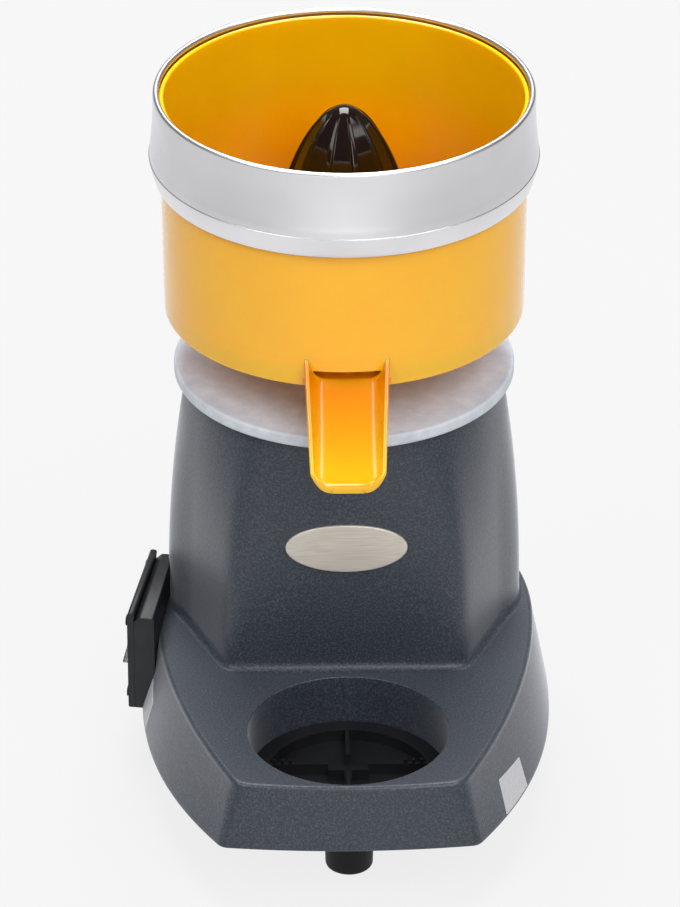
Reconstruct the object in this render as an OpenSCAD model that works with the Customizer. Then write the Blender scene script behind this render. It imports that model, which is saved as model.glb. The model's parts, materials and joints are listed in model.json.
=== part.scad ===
// Electric citrus press: a cast stand with a glass well, an induction motor in its tower,
// and a bowl, a sieve, a fluted cone and a splash ring that lift off the top.

/* [Stand] */
// half width of the skirt at its widest, and its reach behind the spindle
base_r = 104; // [98:0.5:110]
// reach of the skirt in front of the spindle
base_front = 196.5; // [190:0.5:206]
// half width of the front edge of the skirt
base_front_half = 63.5; // [57:0.5:68]
// height of the skirt edge above the worktop
skirt_z = 28; // [24:1:34]
// height of the flank from the skirt edge to the shelf
flank_h = 34; // [31:1:40]
// inset of the shelf edge from the skirt edge along the flanks
flank_draft = 7.5; // [6:0.5:9]
// thickness of the cast walls
wall = 5; // [4:0.5:6]

/* [Tower] */
// height of the tower from the shelf to its deck
tower_h = 130; // [124:1:142]
// radius of the tower at the deck
tower_top_r = 79.4; // [78:0.2:83]
// radius of the tower at its foot
tower_foot_r = 90.2; // [89:0.2:92]
// distance of the flat front face from the spindle
tower_front = 80.6; // [79:0.2:82]
// exponent of the barrel taper from foot to deck
tower_swell = 2.2; // [1.6:0.1:3]

/* [Glass well] */
// radius of the well for the glass
well_r = 50; // [47:0.5:51]
// height of the drip tray's ledge above the floor of the well
tray_ledge_h = 7.5; // [6:0.5:9]

/* [Bowl seat] */
// radius of the seat plate
seat_r = 86; // [84:0.5:90]
// thickness of the seat plate at its rim
seat_t = 6.5; // [5.5:0.5:8]
// radius of the hub that carries the bowl
hub_r = 32; // [30:0.5:36]
// height of the hub above the seat plate
hub_h = 31; // [28:0.5:34]

/* [Bowl] */
// outer radius of the bowl at its floor
bowl_r = 90.3; // [88:0.1:91]
// height of the bowl from its underside to its rim
bowl_h = 116; // [112:0.5:122]
// thickness of the bowl wall
bowl_wall = 2.5; // [2:0.1:3]
// half width of the spout where it leaves the bowl
spout_half = 21; // [18:0.5:24]
// reach of the spout in front of the bowl wall
spout_len = 43.5; // [39:0.5:48]
// drop of the spout floor per millimetre of reach
spout_slope = 0.69; // [0.62:0.01:0.74]

/* [Splash ring] */
// height of the splash ring from its lower edge to the seat on the bowl rim
ring_h = 42; // [36:0.5:48]
// radius of the rolled lip
lip_r = 1.6; // [1.2:0.1:2]

/* [Cone] */
// radius of the cone at its base
cone_r = 35.5; // [33:0.5:38]
// height of the cone
cone_h = 83; // [78:0.5:90]
// number of ribs around the cone
cone_ribs = 10; // [8:1:12]
// depth of the flutes as a share of the radius
flute_depth = 0.14; // [0.08:0.01:0.16]
// share of the pitch that the flat crest of a rib takes
rib_crest = 0.22; // [0.12:0.02:0.3]

/* [Motor] */
// radius of the motor shaft
shaft_r = 6; // [5.5:0.1:6.5]
// radius of the laminated stator
stator_r = 55; // [52:0.5:57]
// height of the laminated stack
stack_h = 42; // [38:1:46]
// radius of the rotor core
rotor_r = 30.5; // [29:0.1:31.5]
// radial air gap between rotor and stator
air_gap = 0.4; // [0.35:0.05:0.6]

/* [Switch] */
// length of the switch box along the flank
box_l = 65; // [60:1:70]
// height of the switch box
box_h = 52; // [48:1:56]
// depth of the switch box behind its cover
box_d = 15; // [14:0.5:18]
// swing of the rocker between off and on
rocker_throw = 16; // [12:1:16]

/* [Hidden] */
$fn = 64;
eps = 0.02;
slip = 0.3;
snug = 0.05;

shelf_z = skirt_z + flank_h;
deck_z = shelf_z + tower_h;
deck_t = 6;
deck_under = deck_z - deck_t;
seat_top = deck_z + seat_t;
hub_top = seat_top + hub_h;
bowl_floor = hub_top + 3.5;
bowl_top = hub_top + bowl_h;
bowl_rim_r = bowl_r + 1.4;

// plan outlines of the stand
skirt_corner = 3;
shelf_corner = 6.5;
front_bulge = 4.2;
front_draft = 5;
edge_fillet = 2.5;
crease_fillet = 4.5;
skirt_bow = 2.3;
shelf_bow = 1.9;
skirt_mid_y = -48;
shelf_mid_y = -21;
rear_power = 2.1;
n_front = 3;
n_corner = 4;
n_side = 10;
n_rear = 14;

function lerp(a, b, t) = a + (b - a) * t;
function smooth(t) = t <= 0 ? 0 : t >= 1 ? 1 : t * t * (3 - 2 * t);

// flank of the outline: from its widest point at mid it narrows to the front half width
function side_x(y, depth, half, r, bow, mid) = r - (r - half) * pow((mid - y) / (depth + mid), bow);

// rear of the outline: a full curve from the widest point to the rear middle
function rear_point(a, r, mid) =
    [r * pow(cos(a), 2 / rear_power), mid + (r - mid) * pow(sin(a), 2 / rear_power)];

function front_y(x, front, half) = -front + front_bulge * pow(x / half, 2);

function bezier(a, b, c, t) = (1 - t) * (1 - t) * a + 2 * t * (1 - t) * b + t * t * c;

// right half of an outline at a share s of the flank, from the front middle to the rear middle
function half_outline(front, half, r, s) =
    let (depth = front - front_bulge)
    let (bow = lerp(skirt_bow, shelf_bow, s))
    let (mid = lerp(skirt_mid_y, shelf_mid_y, s))
    let (corner = lerp(skirt_corner, shelf_corner, s))
    let (x_in = half - corner)
    let (y_in = -(depth - corner))
    let (a = [x_in, front_y(x_in, front, half)])
    let (c = [side_x(y_in, depth, half, r, bow, mid), y_in])
    concat(
        [for (k = [0 : n_front - 1]) [x_in * k / n_front, front_y(x_in * k / n_front, front, half)]],
        [for (k = [0 : n_corner - 1]) bezier(a, [half, -depth], c, k / n_corner)],
        [for (k = [0 : n_side - 1])
            let (y = lerp(y_in, mid, k / n_side)) [side_x(y, depth, half, r, bow, mid), y]],
        [for (k = [0 : n_rear]) rear_point(90 * k / n_rear, r, mid)]
    );

function mirrored(h) = concat(h, [for (i = [len(h) - 2 : -1 : 1]) [-h[i][0], h[i][1]]]);

// outline of the flank at a share s of its height, drawn in by d
function flank_outline(s, d) =
    mirrored(half_outline(
        base_front - front_draft * s - d,
        base_front_half - flank_draft * s - 0.7 * d,
        base_r - flank_draft * s - d,
        s));

// bearing of each outline point from the spindle, 0 at the front
shelf_points = flank_outline(1, edge_fillet);
bearings = [for (p = shelf_points) atan2(abs(p[0]), -p[1])];
sides = [for (p = shelf_points) p[0] < 0 ? -1 : 1];

// foot of the tower: a flat front, two flats beside it and a round back
flat_bearing = 67.3;
flat_distance = tower_foot_r - 4.4;
edge_power = 26;
function flats_r(b) =
    pow(pow(max(cos(b), 0) / tower_front, edge_power)
        + pow(max(cos(b - flat_bearing), 0) / flat_distance, edge_power), -1 / edge_power);
function foot_r(b) = b > 95 ? tower_foot_r : lerp(flats_r(b), tower_foot_r, smooth((b - 65) / 30));
function tower_r(b, z) =
    let (u = max(0, (z - shelf_z) / tower_h))
    lerp(foot_r(b), tower_top_r, pow(u, tower_swell));

function polar_ring(z, grow) =
    [for (i = [0 : len(bearings) - 1])
        let (r = tower_r(bearings[i], z) + grow)
        [sides[i] * r * sin(bearings[i]), -r * cos(bearings[i]), z]];

// hollow fillet where the tower meets the shelf, kept inside the flat of the shelf
function crease_ring(a) =
    [for (i = [0 : len(bearings) - 1])
        let (edge = norm(shelf_points[i]))
        let (foot = foot_r(bearings[i]))
        let (f = min(crease_fillet, 0.5 * (edge - foot)))
        let (r = foot + f * (1 - sin(a)))
        [sides[i] * r * sin(bearings[i]), -r * cos(bearings[i]), shelf_z + f * (1 - cos(a))]];

function at_z(points, z) = [for (p = points) [p[0], p[1], z]];

ceiling_z = shelf_z - wall;
tower_steps = [0.07, 0.16, 0.27, 0.38, 0.49, 0.6, 0.7, 0.79, 0.87, 0.94, 1];
inner_steps = [1, 0.85, 0.7, 0.5, 0.3, 0.1];

shell_rings = concat(
    [for (t = inner_steps) polar_ring(lerp(ceiling_z, deck_under, t), -wall)],
    [at_z([for (p = polar_ring(shelf_z, -wall)) [p[0], p[1]]], ceiling_z)],
    [at_z(flank_outline(ceiling_z > skirt_z ? (ceiling_z - skirt_z) / flank_h : 0, wall), ceiling_z)],
    [at_z(flank_outline(0, wall), skirt_z)],
    [at_z(flank_outline(0, 0), skirt_z)],
    [at_z(flank_outline(0.5, 0), lerp(skirt_z, shelf_z - edge_fillet, 0.5))],
    [for (a = [0 : 30 : 90])
        at_z(flank_outline(1, edge_fillet * (1 - cos(a))), shelf_z - edge_fillet * (1 - sin(a)))],
    [for (a = [0 : 30 : 90]) crease_ring(a)],
    [for (t = tower_steps) polar_ring(lerp(shelf_z, deck_z, t), 0)]);

module loft(rings) {
    n = len(rings[0]);
    m = len(rings);
    points = [for (ring = rings) each ring];
    skin = [for (k = [0 : m - 2]) for (i = [0 : n - 1])
        let (j = (i + 1) % n)
        each [[k * n + i, (k + 1) * n + i, (k + 1) * n + j], [k * n + i, (k + 1) * n + j, k * n + j]]];
    low = [[for (i = [0 : n - 1]) i]];
    high = [[for (i = [n - 1 : -1 : 0]) (m - 1) * n + i]];
    polyhedron(points = points, faces = concat(skin, low, high));
}

// well and drip tray
well_y = -(base_front - front_draft - 3.5 - well_r);
cup_wall = 3;
cup_under = skirt_z - 2.5;
cup_floor = 3;
well_floor = cup_under + cup_floor;
tray_r = well_r - 0.7;
tray_floor_t = 1.4;
tray_ledge_w = 8.5;
rib_t = 2;
rib_y = 10;
rib_gap = 10;

// bottom plate and feet
plate_t = 1.5;
plate_under = skirt_z;
plate_top = plate_under + plate_t;
foot_r_top = 12.4;
foot_r_low = 11.8;
foot_screw_r = 2.5;
foot_head_r = 5;
foot_recess = 8;
front_foot_y = well_y - 26;
rear_boss_r = base_r - flank_draft - wall - 7.5;
rear_foot_x = rear_boss_r * sin(43);
rear_foot_y = rear_boss_r * cos(43);
plate_screw_r = 2;
plate_screw_l = 11;
plate_head_r = 3.8;
plate_head_h = 2;
plate_boss_r = 6;
vent_pitch = 12;
vent_w = 4;
vent_l = 48;
rear_screw_r = rear_boss_r + 2;
rear_screw_x = rear_screw_r * sin(24);
rear_screw_y = rear_screw_r * cos(24);
front_screw_x = base_r - 23.5;
front_screw_y = -95;
plate_screw_spots = [
    [front_screw_x, front_screw_y], [-front_screw_x, front_screw_y],
    [rear_screw_x, rear_screw_y], [-rear_screw_x, rear_screw_y]];

// motor stack, hung from the deck
flange_t = 8;
flange_r = 63;
flange_under = deck_under - flange_t;
spigot_r = 22;
bearing_r = 16;
bearing_h = 10;
ball_r = 2.9;
ball_ring_r = (shaft_r + bearing_r) / 2;
ball_count = 7;
race_in_r = ball_ring_r - 1.6;
race_out_r = ball_ring_r + 1.6;
upper_bearing_z = deck_under;
cup_ring_r = stator_r + 3;
shield_wall = 10;
shield_drop = 32;
stack_top = flange_under - shield_drop;
stack_low = stack_top - stack_h;
lower_shield_h = 26;
lower_shield_low = stack_low - lower_shield_h;
lower_bearing_z = lower_shield_low;
fan_r = 42;
fan_h = 10;
fan_top = lower_shield_low - 4;
shaft_low = fan_top - fan_h - 2;
bolt_ring_r = stator_r - 3.6;
bolt_r = 2;
motor_screw_ring_r = 58;
motor_screw_r = 2.5;
seat_screw_ring_r = tower_top_r - 11;
seat_screw_r = 2.5;

// drive and cone
cone_low = hub_top + 26.5;
cone_top = cone_low + cone_h;
shaft_rise = 34;
shaft_top = cone_low + shaft_rise;
bush_r = shaft_r + 4;
bush_low = cone_low;
bush_cap = 4;
bush_top = shaft_top + bush_cap;
cone_hub_r = bush_r + 2.5;
cone_cap_h = 1;
flute_run_in = 6;
pin_r = 2;
pin_z = cone_low + 7;
pin_half = bush_r - 0.6;
chimney_in = cone_hub_r + 1.5;
chimney_out = chimney_in + 2.5;
chimney_top = cone_low + 12;
seal_r = 13;
seal_h = 7;

// sieve
sieve_z = bowl_floor + 8.5;
sieve_t = 1.2;
sieve_rim_h = 1.9;
slot_l = 30;
slot_w = 2;
sieve_in = cone_r + 5.5;
sieve_out = bowl_r - bowl_wall - 2.6;

// splash ring
ring_t = 1.4;
ring_in = bowl_rim_r + 1.5;
ring_low = bowl_top - ring_h;
ring_seat_w = 3.2;
// the wall draws in below a crease and eases up from it to the lip: growth of its radius, height
crease_out = 2.5;
crease_up = 11;
ring_profile = [
    [-0.2, 0], [0.5, 0.2 * crease_up], [1.35, 0.5 * crease_up], [2, 0.75 * crease_up],
    [crease_out, crease_up], [0.8 * crease_out, crease_up + 3], [0.62 * crease_out, crease_up + 6],
    [0.36 * crease_out, crease_up + 12], [0.08 * crease_out, crease_up + 20]];

// spout
spout_wall = 2.5;
spout_tip_half = spout_half - 2.6;
spout_corner = 8;
spout_floor_t = 3;
spout_rim_root = 15.5;
spout_rim_tip = 2.2;
spout_root = bowl_r - 3.3;
spout_reach = bowl_r + spout_len;
outlet_half = spout_half - 5;
spout_shares = [-1, -0.95, -0.9, -0.83, -0.72, -0.55, -0.3, 0, 0.3, 0.55, 0.72, 0.83, 0.9, 0.95, 1];
spout_shares_long = [0, 0.15, 0.3, 0.45, 0.6, 0.72, 0.82, 0.87, 0.91, 0.945, 0.97, 0.99, 1];
function spout_floor_z(y) = bowl_floor - 0.2 - spout_slope * (y - (bowl_r - 3.8));

// electrics
cap_r = 16;
cap_half = 36;
cap_y = -(tower_front - wall - 18.5);
cap_z = plate_top + 1.2 + cap_r;
clip_t = 1.2;
clip_w = 14;
block_w = 14;
block_l = 34;
block_h = 15;
block_x = 28;
block_y = rear_screw_y - plate_boss_r - 2.5 - block_l;
gland_z = skirt_z + flank_h / 2;
gland_seat_y = base_r - flank_draft / 2 - 2.75;
gland_len = 14;
gland_flange_r = 11;
gland_thread_r = 7;

// switch box frame: x inward, y along the flank to the rear
box_tilt = -9.7;
box_x = -(tower_foot_r + 15.3);
box_y = -29;
box_low = skirt_z + 2;
box_high = box_low + box_h;
cover_t = 3;
cover_rise = 0.6;
box_wall = 2.5;
cover_gap = 0.4;
cover_screw_r = 1.5;
cover_screw_l = 9;
cover_head_r = 2.8;
cover_head_h = 1.2;
cover_l = box_l - 2 * cover_gap;
box_back = box_d;
pad_t = 6;
box_screw_y = box_l / 2 - 12;
box_screw_z = box_low + 16;
box_screw_r = 2;
box_head_r = 3.6;
box_head_h = 2.4;
wire_bore_r = 4;
wire_bore_gap = 8.5;
switch_z = box_low + 26;
rocker_half_w = 8;
rocker_arc_r = 9.2;
rocker_pivot_x = 1;
body_half_w = 10;
body_half_h = 11.5;
body_d = box_back - box_wall - 1;
boot_half_w = 13;
boot_half_h = 14;
boot_out = 7;
boot_top_out = 4;
boot_wall = 1;
bezel_t = 1.5;

badge_half_w = 30.5;
badge_half_h = 13.3;
badge_t = 1.6;
badge_rise = 70.7;
badge_z = shelf_z + badge_rise;
badge_seat_y = tower_front - 1.8;

// the origin is the middle of the footprint on the worktop
boot_left = boot_out * cos(box_tilt) + boot_half_w * sin(-box_tilt) - box_x;
centre_x = (base_r - boot_left) / 2;
centre_y = (gland_seat_y + gland_len - base_front) / 2;

// the sub-part to draw, or all of them

module in_frame() {
    translate([-centre_x, -centre_y, 0]) children();
}

module at_switch() {
    translate([box_x, box_y, 0]) rotate([0, 0, box_tilt]) children();
}

module around(count, r, turn) {
    for (k = [0 : count - 1]) rotate([0, 0, turn + 360 * k / count]) translate([r, 0, 0]) children();
}

module tube(r_out, r_in, h) {
    rotate_extrude() translate([r_in, 0]) square([r_out - r_in, h]);
}

// screw standing on its tip: the shank from z = 0 up to length, the head below it
module screw_up(r, length, head_r, head_h) {
    translate([0, 0, -head_h]) cylinder(r = head_r, h = head_h);
    translate([0, 0, -head_h / 2]) cylinder(r = r, h = length + head_h / 2);
}

module spots_of_plate_screws() {
    for (p = plate_screw_spots) translate([p[0], p[1], 0]) children();
}

module spots_of_rear_feet() {
    for (s = [-1, 1]) translate([s * rear_foot_x, rear_foot_y, 0]) children();
}

module front_foot_spot() {
    translate([0, front_foot_y, 0]) children();
}

module oval(half_w, half_h) {
    polygon([for (a = [0 : 6 : 354]) [half_w * cos(a), half_h * sin(a)]]);
}

module on_badge_seat() {
    translate([0, -badge_seat_y, badge_z]) rotate([90, 0, 0]) children();
}

module casting_bosses() {
    translate([0, well_y, cup_under]) cylinder(r = well_r + cup_wall, h = shelf_z - cup_under - 4);
    spots_of_rear_feet() translate([0, 0, plate_top]) cylinder(r = 8, h = shelf_z - plate_top - 2);
    spots_of_plate_screws() translate([0, 0, plate_top])
        cylinder(r = plate_boss_r, h = shelf_z - plate_top - 2);
    at_switch() translate([box_back, -box_l / 2 + 3, box_low + 6])
        cube([pad_t, box_l - 6, shelf_z - box_low - 8]);
}

module switch_pocket() {
    at_switch() translate([-20, -box_l / 2 - slip, box_low - slip - 10])
        cube([20 + box_back, box_l + 2 * slip, box_h + 2 * slip + 10]);
}

module base_casting() color("#45494f") in_frame() difference() {
    union() {
        loft(shell_rings);
        casting_bosses();
    }
    translate([0, well_y, well_floor]) cylinder(r = well_r, h = shelf_z);
    translate([0, 0, deck_under - 1]) cylinder(r = spigot_r + snug, h = deck_t + 2);
    around(4, motor_screw_ring_r, 45)
        translate([0, 0, deck_under - 1]) cylinder(r = motor_screw_r + snug, h = deck_t);
    around(4, seat_screw_ring_r, 0)
        translate([0, 0, deck_under - 1]) cylinder(r = seat_screw_r + snug, h = deck_t + 2);
    spots_of_rear_feet() translate([0, 0, plate_top - 1]) cylinder(r = foot_screw_r + snug, h = 15);
    front_foot_spot() translate([0, 0, cup_under - 1])
        cylinder(r = foot_screw_r + snug, h = cup_floor + 0.5);
    spots_of_plate_screws() translate([0, 0, plate_top - 1]) cylinder(r = plate_screw_r + snug, h = 12);
    on_badge_seat() linear_extrude(20) oval(badge_half_w + slip, badge_half_h + slip);
    switch_pocket();
    at_switch() spots_of_box_screws() translate([0, 0, box_back - 1])
        cylinder(r = box_screw_r + snug, h = pad_t);
    translate([0, gland_seat_y, gland_z]) rotate([-90, 0, 0])
        cylinder(r = gland_flange_r + 2, h = gland_len);
    translate([0, gland_seat_y - 2 * wall, gland_z]) rotate([-90, 0, 0])
        cylinder(r = gland_thread_r + snug, h = 4 * wall);
}

module bottom_plate() color("#8d9094") in_frame() difference() {
    translate([0, 0, plate_under]) linear_extrude(plate_t)
        polygon(flank_outline((plate_top - skirt_z) / flank_h, wall + slip));
    translate([0, well_y, plate_under - 1]) cylinder(r = well_r + cup_wall + slip, h = plate_t + 2);
    spots_of_rear_feet() translate([0, 0, plate_under - 1])
        cylinder(r = foot_screw_r + snug, h = plate_t + 2);
    spots_of_plate_screws() translate([0, 0, plate_under - 1])
        cylinder(r = plate_screw_r + snug, h = plate_t + 2);
    at_switch() translate([-20, -box_l / 2 - slip, 0])
        cube([20 + box_back + slip, box_l + 2 * slip, shelf_z]);
    for (k = [-3 : 3]) translate([k * vent_pitch - vent_w / 2, -vent_l / 3, plate_under - 1])
        cube([vent_w, vent_l, plate_t + 2]);
}

module bottom_plate_screws() color("#b9bcc0") in_frame() {
    spots_of_plate_screws() translate([0, 0, plate_under])
        screw_up(plate_screw_r, plate_screw_l, plate_head_r, plate_head_h);
}

module rubber_foot(h) {
    difference() {
        cylinder(r1 = foot_r_low, r2 = foot_r_top, h = h);
        translate([0, 0, -1]) cylinder(r = foot_head_r + slip, h = foot_recess + 1);
        translate([0, 0, -1]) cylinder(r = foot_screw_r + snug, h = h + 2);
    }
}

module front_foot() color("#1b1b1c") in_frame() front_foot_spot() rubber_foot(cup_under);

module rear_left_foot() color("#1b1b1c") in_frame()
    translate([-rear_foot_x, rear_foot_y, 0]) rubber_foot(plate_under);

module rear_right_foot() color("#1b1b1c") in_frame()
    translate([rear_foot_x, rear_foot_y, 0]) rubber_foot(plate_under);

module foot_screws() color("#b9bcc0") in_frame() {
    front_foot_spot() translate([0, 0, foot_recess])
        screw_up(foot_screw_r, well_floor - 0.8 - foot_recess, foot_head_r, 3);
    spots_of_rear_feet() translate([0, 0, foot_recess])
        screw_up(foot_screw_r, plate_top + 13 - foot_recess, foot_head_r, 3);
}

module seat_plate() color("#c6c5c7") in_frame() difference() {
    rotate_extrude() polygon([
        [hub_r - 8, deck_z], [seat_r - 1.2, deck_z], [seat_r, deck_z + 1.2], [seat_r, seat_top - 1],
        [seat_r - 1, seat_top], [hub_r, seat_top], [hub_r, hub_top - 1.5], [hub_r - 1.5, hub_top],
        [seal_r + snug, hub_top], [seal_r + snug, hub_top - seal_h], [seal_r - 3, hub_top - seal_h],
        [seal_r - 3, hub_top - seal_h - 3], [hub_r - 8, hub_top - seal_h - 3]]);
    around(4, seat_screw_ring_r, 0)
        translate([0, 0, deck_z - 1]) cylinder(r = seat_screw_r + snug, h = seat_t - 0.5);
}

module seat_plate_screws() color("#b9bcc0") in_frame() {
    around(4, seat_screw_ring_r, 0)
        translate([0, 0, deck_under]) screw_up(seat_screw_r, deck_t + seat_t - 2, 4.2, 3.5);
}

module shaft_seal() color("#26221f") in_frame()
    translate([0, 0, hub_top - seal_h]) tube(seal_r, shaft_r + snug, seal_h - 0.6);

module badge_plate() color("#cfc8bd") in_frame()
    on_badge_seat() linear_extrude(badge_t) oval(badge_half_w, badge_half_h);

module motor_upper_shield() color("#a9adb2") in_frame() difference() {
    union() {
        translate([0, 0, flange_under]) cylinder(r = flange_r, h = flange_t);
        translate([0, 0, deck_under - eps]) cylinder(r = spigot_r, h = bearing_h + 2 + eps);
        translate([0, 0, stack_top])
            tube(cup_ring_r, stator_r - shield_wall + 3, flange_under - stack_top + eps);
    }
    translate([0, 0, upper_bearing_z]) cylinder(r = bearing_r, h = bearing_h + 3);
    translate([0, 0, flange_under - 1]) cylinder(r = shaft_r + 3, h = flange_t + bearing_h);
    around(4, bolt_ring_r, 0) translate([0, 0, stack_top - 1]) cylinder(r = bolt_r + snug, h = 21);
    around(4, motor_screw_ring_r, 45)
        translate([0, 0, flange_under - 1]) cylinder(r = motor_screw_r + snug, h = flange_t + 2);
    around(4, motor_screw_ring_r, 45)
        translate([0, 0, stack_top - 1]) cylinder(r = 5, h = flange_under - stack_top + 1);
    around(6, stator_r, 20) translate([0, 0, stack_top + 14]) rotate([0, 90, 0])
        cylinder(r = 5, h = 4 * shield_wall, center = true);
}

module motor_lower_shield() color("#a9adb2") in_frame() difference() {
    union() {
        translate([0, 0, lower_shield_low]) cylinder(r = cup_ring_r, h = 5);
        translate([0, 0, lower_shield_low]) tube(cup_ring_r, stator_r - shield_wall + 3, lower_shield_h);
        translate([0, 0, lower_shield_low]) cylinder(r = bearing_r + 4, h = bearing_h + 3);
    }
    translate([0, 0, lower_bearing_z - 1]) cylinder(r = bearing_r, h = bearing_h + 1);
    translate([0, 0, lower_bearing_z]) cylinder(r = shaft_r + 3, h = bearing_h + 5);
    around(4, bolt_ring_r, 0) translate([0, 0, lower_shield_low - 1])
        cylinder(r = bolt_r + snug, h = lower_shield_h + 2);
    around(6, 34, 30) translate([0, 0, lower_shield_low - 1]) cylinder(r = 8, h = 7);
}

module motor_mount_screws() color("#b9bcc0") in_frame() {
    around(4, motor_screw_ring_r, 45)
        translate([0, 0, flange_under]) screw_up(motor_screw_r, flange_t + deck_t - 2, 4.4, 4);
}

module stator_core() color("#6f7376") in_frame() translate([0, 0, stack_low]) difference() {
    cylinder(r = stator_r, h = stack_h);
    translate([0, 0, -1]) cylinder(r = rotor_r + air_gap, h = stack_h + 2);
    around(24, rotor_r + 9, 0) translate([-6, -1.6, -1]) cube([12, 3.2, stack_h + 2]);
    around(24, rotor_r + 2, 0) translate([-3, -0.8, -1]) cube([6, 1.6, stack_h + 2]);
    around(4, bolt_ring_r, 0) translate([0, 0, -1]) cylinder(r = bolt_r + snug, h = stack_h + 2);
}

module stator_windings() color("#a4561f") in_frame() {
    around(24, rotor_r + 9, 0) translate([-5.4, -1.4, stack_low - eps])
        cube([10.8, 2.8, stack_h + 2 * eps]);
    translate([0, 0, stack_top]) tube(rotor_r + 15.5, rotor_r + 3.5, 8);
    translate([0, 0, stack_top + 8]) rotate_extrude() translate([rotor_r + 9.5, 0]) circle(r = 5.5);
    translate([0, 0, stack_low - 8]) tube(rotor_r + 15.5, rotor_r + 3.5, 8);
    translate([0, 0, stack_low - 8]) rotate_extrude() translate([rotor_r + 9.5, 0]) circle(r = 5.5);
}

module motor_through_bolts() color("#b9bcc0") in_frame() {
    around(4, bolt_ring_r, 0) translate([0, 0, lower_shield_low])
        screw_up(bolt_r, lower_shield_h + stack_h + 18, 3.5, 3);
}

module outer_race(z) {
    translate([0, 0, z]) rotate_extrude() difference() {
        translate([race_out_r, 0]) square([bearing_r - race_out_r, bearing_h]);
        translate([ball_ring_r, bearing_h / 2]) circle(r = ball_r + slip);
    }
}

module inner_race(z) {
    translate([0, 0, z]) rotate_extrude() difference() {
        translate([shaft_r, 0]) square([race_in_r - shaft_r, bearing_h]);
        translate([ball_ring_r, bearing_h / 2]) circle(r = ball_r + snug);
    }
}

module balls(z) {
    around(ball_count, ball_ring_r, 0) translate([0, 0, z + bearing_h / 2]) sphere(r = ball_r);
}

module upper_bearing_outer_race() color("#c9ccd0") in_frame() outer_race(upper_bearing_z);

module lower_bearing_outer_race() color("#c9ccd0") in_frame() outer_race(lower_bearing_z);

module run_capacitor() color("#d8d9da") in_frame() translate([0, cap_y, cap_z]) rotate([0, 90, 0]) {
    translate([0, 0, -cap_half]) cylinder(r = cap_r, h = 2 * cap_half);
    for (s = [-1, 1]) translate([s * 6 - 0.4, -3, cap_half - eps]) cube([0.8, 6, 8]);
}

module capacitor_clip() color("#9a9da1") in_frame() {
    difference() {
        union() {
            translate([-clip_w / 2, cap_y, cap_z]) rotate([0, 90, 0])
                cylinder(r = cap_r + clip_t, h = clip_w);
            translate([-clip_w / 2, cap_y - cap_r - 0.5, plate_top]) cube([clip_w, 2 * cap_r + 1, clip_t]);
        }
        translate([-clip_w, cap_y, cap_z]) rotate([0, 90, 0]) cylinder(r = cap_r + eps, h = 2 * clip_w);
        translate([-clip_w, cap_y - 2 * cap_r, plate_top - cap_r]) cube([2 * clip_w, 4 * cap_r, cap_r]);
    }
}

module terminal_block() color("#e4e1d8") in_frame() difference() {
    translate([block_x, block_y, plate_top]) cube([block_w, block_l, block_h]);
    for (k = [0 : 2]) translate([block_x + block_w / 2, block_y + block_l * (k + 0.5) / 3, plate_top]) {
        translate([0, 0, 6]) cylinder(r = 2.4, h = block_h);
        translate([-block_w, 0, 5]) rotate([0, 90, 0]) cylinder(r = 1.6, h = 2 * block_w);
    }
}

module cable_gland() color("#202123") in_frame()
    translate([0, gland_seat_y, gland_z]) rotate([-90, 0, 0]) difference() {
        union() {
            cylinder(r = gland_flange_r, h = 3);
            cylinder(r1 = gland_flange_r - 2, r2 = gland_thread_r - 0.5, h = gland_len);
            translate([0, 0, -wall - 7]) cylinder(r = gland_thread_r, h = wall + 8);
            translate([0, 0, -wall - 4.6]) cylinder(r = gland_flange_r - 1, h = 3.4, $fn = 6);
        }
        translate([0, 0, -gland_len]) cylinder(r = gland_thread_r - 3.4, h = 3 * gland_len);
    }

module spots_of_cover_screws() {
    for (s = [-1, 1], t = [0, 1])
        translate([0, s * (box_l / 2 - 5), box_low + 5 + t * (box_h - 10)]) rotate([0, 90, 0]) children();
}

module spots_of_box_screws() {
    for (s = [-1, 1]) translate([0, s * box_screw_y, box_screw_z]) rotate([0, 90, 0]) children();
}

module switch_box() color("#2b2c2f") in_frame() at_switch() difference() {
    union() {
        difference() {
            translate([cover_t, -box_l / 2, box_low]) cube([box_back - cover_t, box_l, box_h]);
            translate([cover_t - 1, -box_l / 2 + box_wall, box_low + box_wall])
                cube([box_back - cover_t - 1.5, box_l - 2 * box_wall, box_h - 2 * box_wall]);
        }
        spots_of_cover_screws() translate([0, 0, cover_t]) cylinder(r = 3.6, h = box_back - cover_t - 1);
    }
    spots_of_cover_screws() translate([0, 0, cover_t - 1])
        cylinder(r = cover_screw_r + snug, h = cover_screw_l - cover_t + 2);
    spots_of_box_screws() translate([0, 0, box_back - 5]) cylinder(r = box_screw_r + snug, h = 4 * box_wall);
    translate([0, box_screw_y - wire_bore_gap, box_screw_z]) rotate([0, 90, 0])
        cylinder(r = wire_bore_r, h = box_back + 5);
}

module switch_box_screws() color("#b9bcc0") in_frame() at_switch() spots_of_box_screws()
    translate([0, 0, box_back - box_wall]) screw_up(box_screw_r, pad_t + 1, box_head_r, box_head_h);

// the cover ends in a rolled edge above the box
module switch_cover() color("#2e2f33") in_frame() at_switch() difference() {
    union() {
        translate([0, -cover_l / 2, box_low + cover_gap])
            cube([cover_t, cover_l, box_h + cover_rise - cover_gap]);
        translate([cover_t / 2, cover_l / 2, box_high + cover_rise]) rotate([90, 0, 0])
            cylinder(r = cover_t / 2, h = cover_l);
    }
    translate([-1, -body_half_w - snug, switch_z - body_half_h - snug])
        cube([cover_t + 2, 2 * body_half_w + 2 * snug, 2 * body_half_h + 2 * snug]);
    spots_of_cover_screws() translate([0, 0, -1]) cylinder(r = cover_screw_r + snug, h = cover_t + 2);
}

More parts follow.
